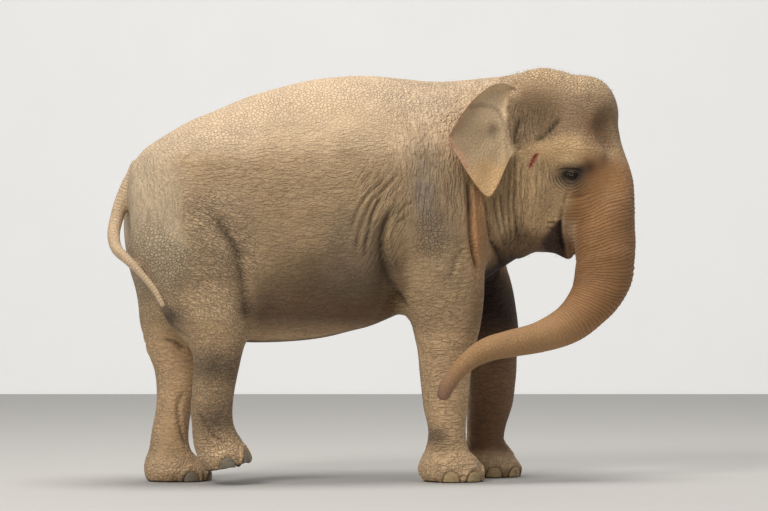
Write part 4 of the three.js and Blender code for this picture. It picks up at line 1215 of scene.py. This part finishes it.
def lash_roots(p):
    """Root and direction of each lash along the upper lid of both eyes."""
    roots = []
    for middle, out in eye_places():
        f, u, o = eye_axes(p, middle, out)
        lid = np.flatnonzero((np.abs(almond(f, u) - 1.12) < 0.14) & (u > 1) & (o > 0))
        if not len(lid):
            raise RuntimeError("no lid was found to stand lashes on")
        for wanted in np.linspace(-19, 18, 15):
            n = lid[np.abs(f[lid] - wanted).argmin()]
            tip = out + 0.35 * head_way(1, 0) * wanted / 18 + np.array([0, 0, -0.35 + 0.2 * math.cos(wanted)])
            roots.append((p[n] - 2 * out, tip))
    return roots


def spike(bm, uv, at, direction, length, radius):
    """One bristle: a thin tapered rod, whose unwrapped place is its root's on an unwrap of the skin."""
    direction = direction / np.linalg.norm(direction)
    turn = Vector((0, 0, 1)).rotation_difference(Vector(direction)).to_matrix().to_4x4()
    place = Matrix.Translation(Vector(metres(at + direction * length / 2))) @ turn
    size = dict(radius1=radius / 1000, radius2=radius / 5000, depth=length / 1000)
    made = bmesh.ops.create_cone(bm, cap_ends=True, segments=3, matrix=place, **size)
    u = (at[0] + 1400) / 3400  # along the animal
    v = 0.5 + math.atan2(at[1], at[2] - 1350) / (2 * math.pi)  # round its long axis
    for face in {f for vert in made["verts"] for f in vert.link_faces}:
        for n, loop in enumerate(face.loops):
            loop[uv].uv = (u + 0.003 * (n % 2), v + 0.003 * (n > 1))


# ------------------------------------------------------------------ settings
def length(name, description, default):
    return FloatProperty(name=name, description=description, default=default, unit="LENGTH")


def amount(name, description, default):
    return FloatProperty(name=name, description=description, default=default)


def tint(name, description, default, subtype="COLOR_GAMMA"):
    return FloatVectorProperty(name=name, description=description, default=default, size=3, subtype=subtype)


class HideSettings(bpy.types.PropertyGroup):
    grid: length("Grid", "Edge length of the plainest parts of the skin", 0.0345)
    inset: length("Inset", "How far the skin lies inside the solids", 0.003)
    fold_depth: amount("Fold depth", "1 presses every fold to its own depth", 1.0)
    furrow_depth: length("Furrow depth", "Depth of the fine wrinkles", 0.0075)
    furrow_shade: amount("Furrow shade", "How much darker the fine wrinkles are", 0.30)
    mottle: amount("Mottle", "How uneven the colour is", 0.42)
    dust: tint("Dust", "Dry sand on the back and ridges, as on a screen", (0.85, 0.75, 0.62))


class EyeSettings(bpy.types.PropertyGroup):
    iris: tint("Iris", "Colour of the iris, as on a screen", (0.12, 0.075, 0.05))


class NailSettings(bpy.types.PropertyGroup):
    horn: tint("Horn", "Colour of the fore nails, as on a screen", (0.80, 0.69, 0.50))
    hind: tint("Hind horn", "Colour of the hind nails, as on a screen", (0.54, 0.50, 0.43))


class HairSettings(bpy.types.PropertyGroup):
    count: IntProperty(name="Bristles", description="How many stand on the crown, chin and back", default=900)
    length: length("Length", "Length of a crown bristle", 0.022)
    lash: length("Lashes", "Length of a lash on the upper lid", 0.022)


class StageSettings(bpy.types.PropertyGroup):
    floor: tint("Floor", "Colour of the floor", (0.50, 0.49, 0.47), "COLOR")
    sky: amount("Fill light", "Strength of the even light from all round", 0.30)
    key: amount("Top light", "Strength of the large lamp overhead", 1800.0)


# ------------------------------------------------------------------ the skin's colours and kinds of wrinkle
SKIN_TONES = {  # as on a screen
    "side": (166, 138, 103), "back": (220, 192, 158), "grey": (122, 106, 88), "low": (92, 72, 50),
    "belly": (106, 78, 49), "upper_side": (206, 177, 141), "rump": (204, 182, 151), "thigh": (194, 164, 128),
    "thigh_low": (236, 201, 156), "shoulder_grey": (138, 124, 110), "leg": (216, 181, 139),
    "far_hind": (208, 173, 132), "arm": (188, 158, 120), "far_leg": (124, 92, 64), "knee_shade": (94, 79, 62),
    "neck": (214, 176, 130), "neck_light": (255, 218, 170), "neck_orange": (216, 154, 100),
    "brisket": (46, 26, 18), "head": (188, 156, 115), "forehead": (152, 124, 92), "brow": (192, 158, 113),
    "temple": (140, 115, 86), "bridge": (122, 84, 54), "crown": (208, 177, 137), "eye": (9, 7, 6),
    "lid": (70, 56, 44), "eye_corner": (74, 40, 27), "scar": (132, 44, 38), "lip": (66, 46, 34),
    "jaw": (112, 86, 62), "trunk": (154, 111, 70), "trunk_seam": (190, 160, 128), "trunk_low": (170, 133, 92),
    "trunk_tip": (146, 110, 88), "ear": (204, 175, 136), "ear_top": (236, 206, 165),
    "ear_sand": (224, 182, 129), "ear_pink": (224, 168, 134), "ear_dark": (112, 98, 84),
    "tail": (208, 180, 146), "sole": (96, 80, 64), "foot": (240, 204, 160),
}
# Patches of shade, each with its x and z and its half sizes.
DARK_LOW_FLANK = ((-405, 1085), (75, 125), 0.7), ((-488, 1005), (48, 125), 0.8)
JOINT_SHADE = [
    ((-700, 690), (150, 95)), ((-680, 385), (120, 110)), ((-960, 985), (80, 75)), ((640, 270), (80, 60)),
]
EAR_ROLL = [(368, 2222, 0), (240, 2238, 0), (140, 2236, 0), (88, 2214, 0), (62, 2150, 0), (46, 2050, 0)]
SCAR = [(70, -285, 1876), (89, -288, 1917), (114, -290, 1953)]


def patch(u, v, at, half):
    """A soft round patch in two directions: 1 in its middle."""
    return np.exp(-(((u - at[0]) / half[0]) ** 2 + ((v - at[1]) / half[1]) ** 2))


def spot(m, a, z, half_a, half_z, soft=0.5):
    """A patch with a firmer edge on both sides of the head, at (a, z)."""
    r = np.hypot((m["a"] - a) / half_a, (m["z"] - z) / half_z)
    return ramp(1 + soft, 1 - soft, r)


class Coat:
    """The colour of every point of the skin, laid tone over tone."""

    def __init__(self, count, tone):
        self.tones = {name: np.array(srgb(*value)[:3]) for name, value in SKIN_TONES.items()}
        self.colour = np.repeat(self.tones[tone][None], count, 0)

    def lay(self, tone, share):
        share = np.clip(share, 0, 1)[:, None]
        self.colour = self.colour * (1 - share) + self.tones[tone] * share


def lay_body(lay, p, normal, m, blotch):
    """Colours the trunk of the body, the legs and the neck. Gives how deep in shade the brisket is."""
    x, y, z, xs, top, body = (m[k] for k in ("x", "y", "z", "xs", "top", "body"))
    shoulder = m["shoulder"]
    height, stray = z + 60 * blotch, 90 * blotch
    lay("upper_side", body * ramp(1840, 2080, height) * (1 - m["neck"]))
    low = ramp(1560, 1120, height) * ramp(-500, -180, x + stray) * ramp(450, 220, xs + stray)
    lay("low", body * low * 0.9)
    # painted shade on the underside of the belly
    under = ramp(0.05, -0.55, top) * ramp(1150, 1020, z)
    lay("belly", body * under * ramp(-560, -420, x) * ramp(600, 300, x))
    lay("grey", body * ramp(0.15, 0.8, noise(p, 420, 51) + 0.4 * blotch) * 0.34)
    lay("rump", m["rump"] * 0.75)
    lay("thigh", m["thigh"])
    lay("thigh_low", m["thigh"] * ramp(1240, 1050, height))
    for at, half, share in DARK_LOW_FLANK:
        lay("low", body * patch(x, z, at, half) * share)
    lay("arm", body * ramp(1450, 1250, height) * ramp(380, 480, xs) * ramp(860, 760, xs) * ramp(900, 1000, z))
    lay("leg", m["leg"])
    # painted shade on the inner side of the legs: dark on the forelegs, slight low on the hind legs
    inner = ramp(0.1, -0.5, normal[:, 1] * np.sign(y))
    low_leg = inner * body * ramp(1250, 900, z) * ramp(30, 80, np.abs(y))
    lay("far_leg", low_leg * (x > 0) * (0.8 + 0.2 * ramp(600, 300, z)))
    lay("far_hind", low_leg * (x < -700) * ramp(1000, 800, z))
    # painted shade patches on the hind leg, the back of the thigh and the back of a fore ankle
    for at, half in JOINT_SHADE:
        lay("knee_shade", patch(x, z, at, half) ** (0.75 + 0.5 * blotch) * (1 - inner) * body * 0.85)
    lay("neck", m["neck"])
    lay("shoulder_grey", shoulder * patch(xs, z, (520, 1720), (75, 270)) * (0.62 + 0.5 * blotch))
    lay("shoulder_grey", shoulder * patch(xs, z, (620, 1480), (110, 120)) * 0.35)
    lay("neck_orange", body * patch(xs, z, (870, 1520), (60, 240)) * 0.9)
    deep = (body + m["head"]) * ramp(1420, 1250, height) * ramp(720, 900, x)
    deep = deep * ramp(640, 1050, height) * ramp(0.45, 0.1, top)
    deep = deep * np.clip(inner + ramp(330, 150, np.abs(y)) * ramp(900, 1050, z), 0, 1)
    lay("back", body * ramp(0.30, 0.72, top + 0.14 * blotch) * ramp(1850, 2050, z))
    return deep


def lay_head(lay, m, deep):
    """Colours the head, the brisket behind it and the trunk."""
    x, y, z, top, a, head, trunk, run = (m[k] for k in ("x", "y", "z", "top", "a", "head", "trunk", "run"))
    out, face = np.abs(m["b"]), np.clip(m["head"] + m["trunk"], 0, 1)
    lay("head", head)
    lay("forehead", head * ramp(1960, 2100, z))
    lay("crown", head * ramp(0.2, 0.8, top) * ramp(2000, 2200, z))
    lay("temple", head * spot(m, 110, 2140, 150, 160) * ramp(120, 200, out) * 0.8)
    lay("brow", head * spot(m, 280, 1985, 200, 78) * ramp(100, 200, out) * 0.85)
    lay("bridge", face * spot(m, 470, 2085, 85, 120) * ramp(60, 130, out) * 0.6)
    lay("temple", head * spot(m, 182, 1690, 80, 75) * ramp(100, 180, out) * 0.45)
    # painted shade under the jaw
    lay("jaw", head * ramp(1530, 1440, z + 0.2 * (a - 130)) * 0.8)
    # painted light on the neck behind the cheek, where its folds face down
    light = patch(x, z, (1045, 1530), (75, 95)) * ramp(150, 230, np.abs(y))
    lay("neck_light", (1 - m["ears"]) * light * 0.7)
    # painted shade on the brisket, below the neck and between the forelegs
    lay("brisket", deep * ramp(0, -90, a))
    # painted shade in the mouth below its corner
    depth = np.clip((1550 - z) / 130, 0, 1)
    mouth = ramp(1554, 1534, z) * ramp(0, 50, a - (182 - 100 * depth)) * ramp(254, 240, a + 8 * depth)
    lay("lip", face * mouth)
    lay("trunk", trunk)
    lay("trunk_low", trunk * ramp(1000, 1400, run) * 0.8)
    lay("trunk_tip", trunk * ramp(1900, 2150, run))
    seam = ramp(70, 20, np.abs(a - 285)) * ramp(1180, 1300, z) * ramp(1600, 1520, z) * ramp(60, 120, out)
    lay("trunk_seam", face * seam * (1 - mouth) * 0.55)


def lay_ears(lay, p, m, blotch):
    ears, s, z = m["ears"], m["ear_s"], m["z"]
    lay("ear", ears)
    lay("ear_top", ears * ramp(2080, 2230, z))
    lay("ear_sand", ears * ramp(1960, 1820, z + 90 * blotch))
    # painted shade under the rolled top of the ear and in the dent of its sheet
    beside = line_reach(np.column_stack([s, z, 0 * z]), np.array(EAR_ROLL, float))[0]
    lay("ear_dark", ears * ramp(20, 3, beside + 5 * blotch) * 0.42)
    lay("ear_dark", ears * patch(s, z, (130, 2085), (50, 60)) * 0.55)
    pink = ramp(0.64, 0.95, m["ear_share"] + 0.16 * noise(p, 26, 23)) * ramp(1780, 1900, z)
    lay("ear_pink", ears * pink * ramp(230, 330, s) * 0.65)


def paint(skin, p, normal, m, crease_shade, dark, wide_lid, red):
    """Writes the skin's colour and the kinds of wrinkle it carries."""
    blotch = noise(p, 210, 21) * 0.6 + noise(p, 90, 22) * 0.4
    coat = Coat(len(p), "side")
    deep = lay_body(coat.lay, p, normal, m, blotch)
    lay_head(coat.lay, m, deep)
    lay_ears(coat.lay, p, m, blotch)
    coat.lay("tail", m["tail"] * 0.9)
    coat.lay("foot", m["foot"] * ramp(30, 70, sole_level(p)) * 0.8)
    coat.lay("sole", ramp(0, -0.8, m["top"]) * ramp(12, 4, sole_level(p)))
    # the eye's black and the zone round it carry painted shade in the lid fold and the rings below
    coat.lay("lid", wide_lid)
    coat.lay("eye_corner", red)
    coat.lay("eye", np.clip(dark * 1.1, 0, 1) * 0.94)
    scar = line_reach(p, from_head(SCAR))[0]
    coat.lay("scar", ramp(15, 5, scar + 4 * noise(p, 14, 24)))
    store(skin, "hide", np.column_stack([coat.colour, np.ones(len(p))]), "FLOAT_COLOR")
    store(skin, "wrinkles", np.clip(wrinkle_kinds(m), 0, 1), "FLOAT_COLOR")
    mosaic, rings = cracks_and_rings(p, m)
    dust = np.clip(0.12 + 0.75 * m["top"], 0, 1) * ramp(800, 2100, m["z"])
    dust = dust * (1 - np.clip(dark + red, 0, 1)) * (1 - crease_shade) * (1 - 0.6 * m["head"])
    store(skin, "marks", np.clip(np.column_stack([mosaic, rings, crease_shade, dust]), 0, 1), "FLOAT_COLOR")
    ring = np.where(m["tail"] > 0.2, m["tail_run"], ring_run(m)) / 1000
    round_it = 0.2 * np.column_stack([np.cos(m["turn"]), np.sin(m["turn"])])
    store(skin, "run", np.column_stack([ring, round_it]), "FLOAT_VECTOR")


def wrinkle_kinds(m):
    """How strongly each point carries level, upright and slanting wrinkles, and the thigh's net of them."""
    x, z, xs, head, shoulder, rump = (m[k] for k in ("x", "z", "xs", "head", "shoulder", "rump"))
    cheek = head * ramp(1990, 1880, z) * ramp(270, 170, m["a"])
    temple = head * ramp(1980, 2040, z) * ramp(2290, 2200, z) * ramp(280, 180, m["a"])
    temple = temple * ramp(90, 160, np.abs(m["b"]))
    flank = m["body"] * (1 - rump) * (1 - m["thigh"]) * (1 - m["slant"]) * (1 - shoulder) * (1 - m["neck"])
    from_leg = x - m["reach"]
    leg_rear = m["leg"] * ramp(630, 600, from_leg) * ramp(520, 545, from_leg)
    level = flank * ramp(2250, 1950, z) * 0.65
    level += shoulder * ramp(1500, 1400, z) * ramp(560, 640, xs) * 0.7
    arm = ramp(1500, 1380, z) * ramp(900, 1020, z) * ramp(330, 430, xs) * ramp(820, 740, xs)
    level += m["body"] * arm * 0.6
    level += m["leg"] * (1 - leg_rear) * 0.34 + head * (1 - cheek) * (1 - temple) * 0.38
    upright = m["neck"] * 0.9 + rump * ramp(1400, 1550, z) * 0.7 + shoulder * ramp(1450, 1600, z) * 0.9
    upright += cheek * 0.8 + temple * 0.8 + leg_rear * 0.8 + m["ears"] * 0.10
    net = np.clip(m["thigh"] + 0.5 * rump * ramp(1500, 1300, z), 0, 1)
    return np.column_stack([level, upright, m["slant"] * 0.8, net])


def cracks_and_rings(p, m):
    """How strongly each point carries the fine mosaic of cracks, and the rings of trunk and tail."""
    z, xs, top, head, trunk, run = (m[k] for k in ("z", "xs", "top", "head", "trunk", "run"))
    back = ramp(0.35, 0.8, top) * ramp(1800, 2050, z)
    arms = m["shoulder"] * ramp(420, 520, xs) * ramp(680, 600, xs) * ramp(1620, 1540, z) * ramp(1300, 1380, z)
    mosaic = 0.2 * m["body"] + 0.32 * head + back * 0.45 + m["ears"] * 0.3 + m["foot"] * 0.3 + arms * 0.6
    mosaic += m["rump"] * ramp(1560, 1400, z + 90 * noise(p, 130, 42)) * 0.6
    mosaic += m["thigh"] * ramp(1160, 1000, z) * 0.5 + m["tail"] * 0.3 + head * ramp(0.2, 0.8, top) * 0.3
    mosaic += trunk * ramp(1200, 1500, run) * 0.25 + m["leg"] * ramp(-400, -600, m["x"]) * 0.35
    rings = trunk * (0.16 + 0.72 * ramp(1500, 900, run) * ramp(180, 470, run)) + m["tail"] * 0.5
    return mosaic, np.clip(rings, 0, 1)


def store(piece, name, values, kind):
    layer = piece.data.attributes.new(name, kind, "POINT")
    flat = np.ascontiguousarray(values, np.float32).ravel()
    layer.data.foreach_set("vector" if kind == "FLOAT_VECTOR" else "color", flat)


def wanted_level(p, lines, eyes):
    """How many times a face at p is halved: 0 on the flank, 1 on folds, 2 on the trunk, 3 at the eyes."""
    x, y, z = p.T
    q = to_head(p)
    trunk_far, trunk_run, _ = trunk_tube.look(p).T
    xs = x - np.where(y > 0, leg_reach(p), 0)
    level = np.zeros(len(p))
    level[(q[:, 0] > -190) & (z > 1250) | (trunk_far < 40)] = 1
    level[(xs > 20) & (xs < 470) & (z > 1150) & (z < 2050) & (np.abs(y) > 300)] = 1
    level[(x > 780) & (z > 1100) & (z < 2000)] = 1
    level[(z < 240) | (sole_level(p) < 170)] = 1
    level[fold_distance(p, lines) < 50] = 1
    level[(xs > 70) & (xs < 430) & (z > 1230) & (z < 1880) & (np.abs(y) > 400)] = 2
    level[(trunk_far < 35) & (trunk_run > 60) & (trunk_run < 1400) & (z < 1960)] = 2
    for _, start, out, width, *_ in nail_places():
        d = p - start
        beside = np.abs(d @ np.cross(out, [0, 0, 1]))
        level[(d @ out > 60) & (np.abs(d[:, 2] - 30) < 95) & (beside < 1.7 * width)] = 2
    for middle, _ in eyes:
        far = np.linalg.norm(p - middle, axis=1)
        level[far < 170] = np.maximum(level[far < 170], 2)
        level[far < 98] = 3
    level[(np.abs(q - [235, 0, 1450]) < [70, 260, 130]).all(1)] = 2  # the mouth
    for side in (-1, 1):
        distance, s, _ = ear_look(p, side)
        level[(distance < 14) & (s > 10) & (x > 560) & (z > 1600)] = 0
    return level


# ------------------------------------------------------------------ operators
def hand_over(piece, material, slot, *nodes):
    """Gives a finished piece its material and its body, and hides the nodes that it stands for. The slot is
    not used.
    """
    piece.data.materials.clear()
    piece.data.materials.append(material)
    shade_smooth(piece)
    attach(piece, "root")
    if nodes:
        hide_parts(*nodes)


class OBJECT_OT_elephant_skin(bpy.types.Operator):
    """Covers all the flesh with one skin, with its folds, lids and colours"""

    bl_idname = "object.elephant_skin"
    bl_label = "Skin"

    def execute(self, context):
        hide = context.scene.elephant_hide
        inset = hide.inset * 1000
        skin = body_block(hide.grid)
        place_points(skin.data, metres(settle(plan(mesh_points(skin.data)), body_field)))
        relax(skin, body_field, 4)
        unite(skin, [ear_piece(-1), ear_piece(1), tail_piece()])
        lines, eyes = fold_lines(), eye_places()
        check_plan(eyes)
        for level in (1, 2, 3):
            size = hide.grid / 2**level
            refine(skin, lambda p: np.where(wanted_level(p, lines, eyes) >= level, size, 1.0))
            p = settle(plan(mesh_points(skin.data)), whole_field, rounds=2, reach=8)
            place_points(skin.data, metres(p))
            if level < 3:
                relax(skin, whole_field, 2, keep=thin_parts(p))
        p = settle(plan(mesh_points(skin.data)), whole_field, inset, rounds=2, reach=5)
        normal = outward(p, whole_field)
        marks, level = skin_marks(p, normal), wanted_level(p, lines, eyes)
        pressed, crease_shade = pressed_folds(p, normal, lines)
        toes, nail_line_shade = toe_detail(p)
        shift, dark, wide_lid, red = eye_detail(p)
        crease_shade = np.maximum(crease_shade, nail_line_shade)
        thin = ramp(0.7, 0.3, np.maximum(marks["ears"], marks["tail"]))
        shift += pressed + toes + soft_folds(p, marks, level) * (0.25 + 0.75 * thin)
        p = p + hide.fold_depth * shift[:, None] * normal
        p = even_out(p, skin.data, (marks["trunk"] > 0.3) & (level > 1), MOST_STRAY)
        p = shape_lids(p)
        p[:, 2] = np.where(p[:, 2] < 60, np.maximum(p[:, 2], 0.6), p[:, 2])
        place_points(skin.data, metres(p))
        paint(skin, p, normal, marks, crease_shade, dark, wide_lid, red)
        hand_over(skin, hide_material(hide), "skin", *FLESH)
        triangles = sum(len(f.vertices) - 2 for f in skin.data.polygons)
        if triangles > MOST_TRIANGLES:
            raise RuntimeError(f"the skin has {triangles} triangles")
        return {"FINISHED"}


def check_plan(eyes):
    """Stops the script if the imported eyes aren't where the plan puts them."""
    for (middle, _), side in zip(eyes, ("right", "left")):
        low, high = (np.array(corner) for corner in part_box("eye_" + side))
        gap = np.abs(plan((low + high) / 2) - middle).max()
        if gap > PLAN_CLEARANCE:
            raise RuntimeError(f"the {side} eye is {gap:.1f} mm from its place in the plan")


def thin_parts(p):
    """Points of the ears and the tail, which evening out would shrink."""
    keep = np.zeros(len(p), bool)
    for side in (-1, 1):
        distance, s, _ = ear_look(p, side)
        keep |= (distance < 12) & (s > 20) & (p[:, 0] > 560) & (p[:, 2] > 1600)
    distance, run, _ = tail_tube.look(p).T
    return keep | ((distance < 12) & (run > 60))


class OBJECT_OT_elephant_eyes(bpy.types.Operator):
    """Sets a smooth wet ball with an iris in each socket"""

    bl_idname = "object.elephant_eyes"
    bl_label = "Eyes"

    def execute(self, context):
        material = eye_material(context.scene.elephant_eyes)
        radius = EYE_RADIUS / 1000
        for (middle, out), side in zip(eye_places(), ("right", "left")):
            bm = bmesh.new()
            bmesh.ops.create_uvsphere(bm, u_segments=48, v_segments=32, radius=radius)
            place = bm.verts.layers.float_vector.new("front")
            for vert in bm.verts:  # the clear front stands a little proud of the ball
                vert.co *= 1 + 0.07 * max(0.0, (vert.co.z / radius - 0.80) / 0.20) ** 1.2
                vert[place] = vert.co / radius
            turn = Vector((0, 0, 1)).rotation_difference(Vector(out)).to_matrix().to_4x4()
            where = Matrix.Translation(Vector(metres(middle)))
            bmesh.ops.transform(bm, matrix=where @ turn, verts=bm.verts)
            hand_over(new_piece("eyeball_" + side, bm), material, "eyes", "eye_" + side)
        return {"FINISHED"}


def eye_material(eye):
    r = Recipe("wet_eye")
    front = r.attribute("front").outputs["Vector"]
    flat = r.add("VectorMath", {0: front, 1: (1, 1, 0)}, operation="MULTIPLY")
    radius = r.add("VectorMath", {0: flat}, out="Value", operation="LENGTH")
    rays = r.noise(r.add("Mapping", {"Vector": front, "Scale": (14, 14, 2)}), 1.0, 3.0)
    iris = r.mix(rays, screen(eye.iris, 110), screen(eye.iris))
    colour = r.mix(r.spread(radius, 0.20, 0.25), (0.004, 0.003, 0.003, 1), iris)
    white = r.mix(r.noise(front, 6.0), srgb(96, 70, 52), srgb(150, 122, 96))
    colour = r.mix(r.spread(radius, 0.42, 0.54), colour, srgb(18, 11, 8))
    colour = r.mix(r.spread(radius, 0.60, 0.70), colour, white)
    wet = {"IOR": 1.38, "Coat Weight": 1.0, "Coat Roughness": 0.03}
    r.finish({"Base Color": colour, "Roughness": 0.06, **wet})
    return r.material


class OBJECT_OT_elephant_nails(bpy.types.Operator):
    """Lays a rounded horn nail over each toe"""

    bl_idname = "object.elephant_nails"
    bl_label = "Nails"

    def execute(self, context):
        nails = context.scene.elephant_nails
        worn, grey = nail_material("worn_horn", nails.horn), nail_material("grey_horn", nails.hind)
        horns = {"fore": worn, "hind": grey}
        for name, start, out, width, height, thick in nail_places():
            bm = bmesh.new()
            bmesh.ops.create_uvsphere(bm, u_segments=32, v_segments=20, radius=1)
            side = np.cross(out, [0, 0, 1])
            across, up, front = np.array([v.co for v in bm.verts]).T
            boxy = (np.abs(across) ** 2.3 + np.abs(up) ** 2.3) ** (1 / 2.3)
            arch = np.maximum(np.hypot(across, up), 1e-6) / np.maximum(boxy, 1e-6)
            across, up = across * arch, np.clip(up, -0.06, 1) * arch
            inside = start + (across * width)[:, None] * side + [0, 0, 1] * (up * height)[:, None]
            inside[:, 2] = np.maximum(inside[:, 2], start[2] + 6)
            p = comes_out(inside, np.repeat(out[None], len(inside), 0), core_field)
            bulge = np.where(front > 0, thick * np.abs(front) ** 0.75 * (1 - 0.25 * up), 10 * front)
            ridges = 0.5 * np.sin(up * 21) * (front > 0.2)
            p += (bulge + ridges - 1.5)[:, None] * out
            p[:, 2] = np.maximum(inside[:, 2] + (up < 0) * up * 60, 1.2)
            for vert, co in zip(bm.verts, metres(p)):
                vert.co = co
            bmesh.ops.recalc_face_normals(bm, faces=bm.faces)
            hand_over(new_piece("horn_" + name, bm), horns[name.split("_")[1]], "nails", name)
        return {"FINISHED"}


def nail_material(name, tone):
    r = Recipe(name)
    place = r.place()
    growth = r.noise(r.stretched(place, 0.0, (0.06, 0.06, 0.006)), 1.0, 3.0, 0.6)
    stain = r.noise(place, 22.0, 4.0, 0.6)
    horn = screen(tone)
    colour = r.mix(r.spread(growth, 0.35, 0.65), tuple(c * 0.62 for c in horn[:3]) + (1,), horn)
    colour = r.mix(r.spread(stain, 0.5, 0.75, 0.0, 0.55), colour, srgb(132, 108, 80))
    grain = r.math("MULTIPLY", r.noise(place, 160.0, 2.0), 0.3)
    normal = r.bump(r.math("ADD", growth, grain), 0.6, 0.0018)
    rough = r.math("MULTIPLY_ADD", stain, 0.25, 0.38)
    r.finish({"Base Color": colour, "Roughness": rough, "Normal": normal})
    return r.material


CAMERA_AT, CAMERA_LENS, CAMERA_PITCH = (-3.9605, -17.6515, 1.100), 140.9, math.radians(90.791)
VIEW_TURN = math.radians(-13)  # the camera's turn, and that of the backdrop behind the animal
LAMPS_AIM = Vector((0, 0, 1.2))


class OBJECT_OT_elephant_stage(bpy.types.Operator):
    """Sets the floor, the backdrop, the soft lamps and the camera"""

    bl_idname = "object.elephant_stage"
    bl_label = "Stage"

    def execute(self, context):
        stage = context.scene.elephant_stage
        tone = tuple(stage.floor)
        ground = Recipe("pale_floor")
        soft = ground.noise(ground.place(), 3.0, 3.0)
        mixed = ground.mix(soft, tuple(c * 0.97 for c in tone) + (1,), tone + (1,))
        ground.finish({"Base Color": mixed, "Roughness": 0.9})
        self.sheet("floor", 60, ground.material, Matrix.Translation((0, 0, -0.0005)))
        paper = Recipe("pale_paper")
        mixed = paper.mix(paper.noise(paper.place(), 1.5, 2.0), (0.78, 0.78, 0.77, 1), (0.82, 0.82, 0.81, 1))
        glow = {"Emission Color": (1, 1, 1, 1), "Emission Strength": 0.28}
        paper.finish({"Base Color": mixed, "Roughness": 1.0, **glow})
        upright = Matrix.Rotation(VIEW_TURN, 4, "Z") @ Matrix.Rotation(math.radians(90), 4, "X")
        self.sheet("backdrop", 30, paper.material, Matrix.Translation((3.6, 15.6, 0)) @ upright)

        world = bpy.data.worlds.new("studio")
        context.scene.world = world
        world.use_nodes = True
        back = world.node_tree.nodes["Background"]
        back.inputs["Color"].default_value = (0.93, 0.95, 1.0, 1)
        back.inputs["Strength"].default_value = stage.sky
        self.lamp("top_lamp", (0.5, -1.0, 16.0), 9.0, stage.key)
        self.lamp("side_lamp", (-9.0, -10.0, 11.0), 6.0, stage.key * 0.78)

        data = bpy.data.cameras.new("camera")
        data.sensor_width, data.lens, data.clip_end = 36.0, CAMERA_LENS, 200.0
        camera = bpy.data.objects.new("camera", data)
        camera.location = CAMERA_AT
        camera.rotation_euler = (CAMERA_PITCH, 0, VIEW_TURN)
        context.scene.collection.objects.link(camera)
        context.scene.camera = camera
        context.scene.view_settings.view_transform = "Standard"
        return {"FINISHED"}

    def sheet(self, name, size, material, place):
        bm = bmesh.new()
        bmesh.ops.create_grid(bm, x_segments=2, y_segments=2, size=size)
        bmesh.ops.transform(bm, matrix=place, verts=bm.verts)
        made = new_piece(name, bm)
        made.data.materials.append(material)

    def lamp(self, name, at, size, power):
        """A warm round lamp that looks at the middle of the body."""
        data = bpy.data.lights.new(name, "AREA")
        data.shape, data.size, data.energy, data.color = "DISK", size, power, (1.0, 0.97, 0.92)
        made = bpy.data.objects.new(name, data)
        made.location = at
        made.rotation_euler = (LAMPS_AIM - Vector(at)).to_track_quat("-Z", "Y").to_euler()
        bpy.context.scene.collection.objects.link(made)


SETTINGS = {
    "elephant_hide": (HideSettings, OBJECT_OT_elephant_skin),
    "elephant_eyes": (EyeSettings, OBJECT_OT_elephant_eyes),
    "elephant_nails": (NailSettings, OBJECT_OT_elephant_nails),
    "elephant_hair": (HairSettings, OBJECT_OT_elephant_hair),
    "elephant_stage": (StageSettings, OBJECT_OT_elephant_stage),
}


class VIEW3D_PT_elephant(bpy.types.Panel):
    """Lists the elephant's pieces and their settings"""

    bl_label = "Elephant"
    bl_space_type = "VIEW_3D"
    bl_region_type = "UI"
    bl_category = "Elephant"

    def draw(self, context):
        for group, (settings, operator) in SETTINGS.items():
            box = self.layout.box()
            for name in settings.__annotations__:
                box.prop(getattr(context.scene, group), name)
            box.operator(operator.bl_idname)


CLASSES = [cls for pair in SETTINGS.values() for cls in pair] + [VIEW3D_PT_elephant]


def register():
    for cls in CLASSES:
        bpy.utils.register_class(cls)
    for name, (settings, _) in SETTINGS.items():
        setattr(bpy.types.Scene, name, PointerProperty(type=settings))


def unregister():
    for name in SETTINGS:
        delattr(bpy.types.Scene, name)
    for cls in reversed(CLASSES):
        bpy.utils.unregister_class(cls)


def main():
    register()
    bpy.ops.object.elephant_skin()
    bpy.ops.object.elephant_eyes()
    bpy.ops.object.elephant_nails()
    bpy.ops.object.elephant_hair()
    bpy.ops.object.elephant_stage()


if __name__ == "__main__":
    main()
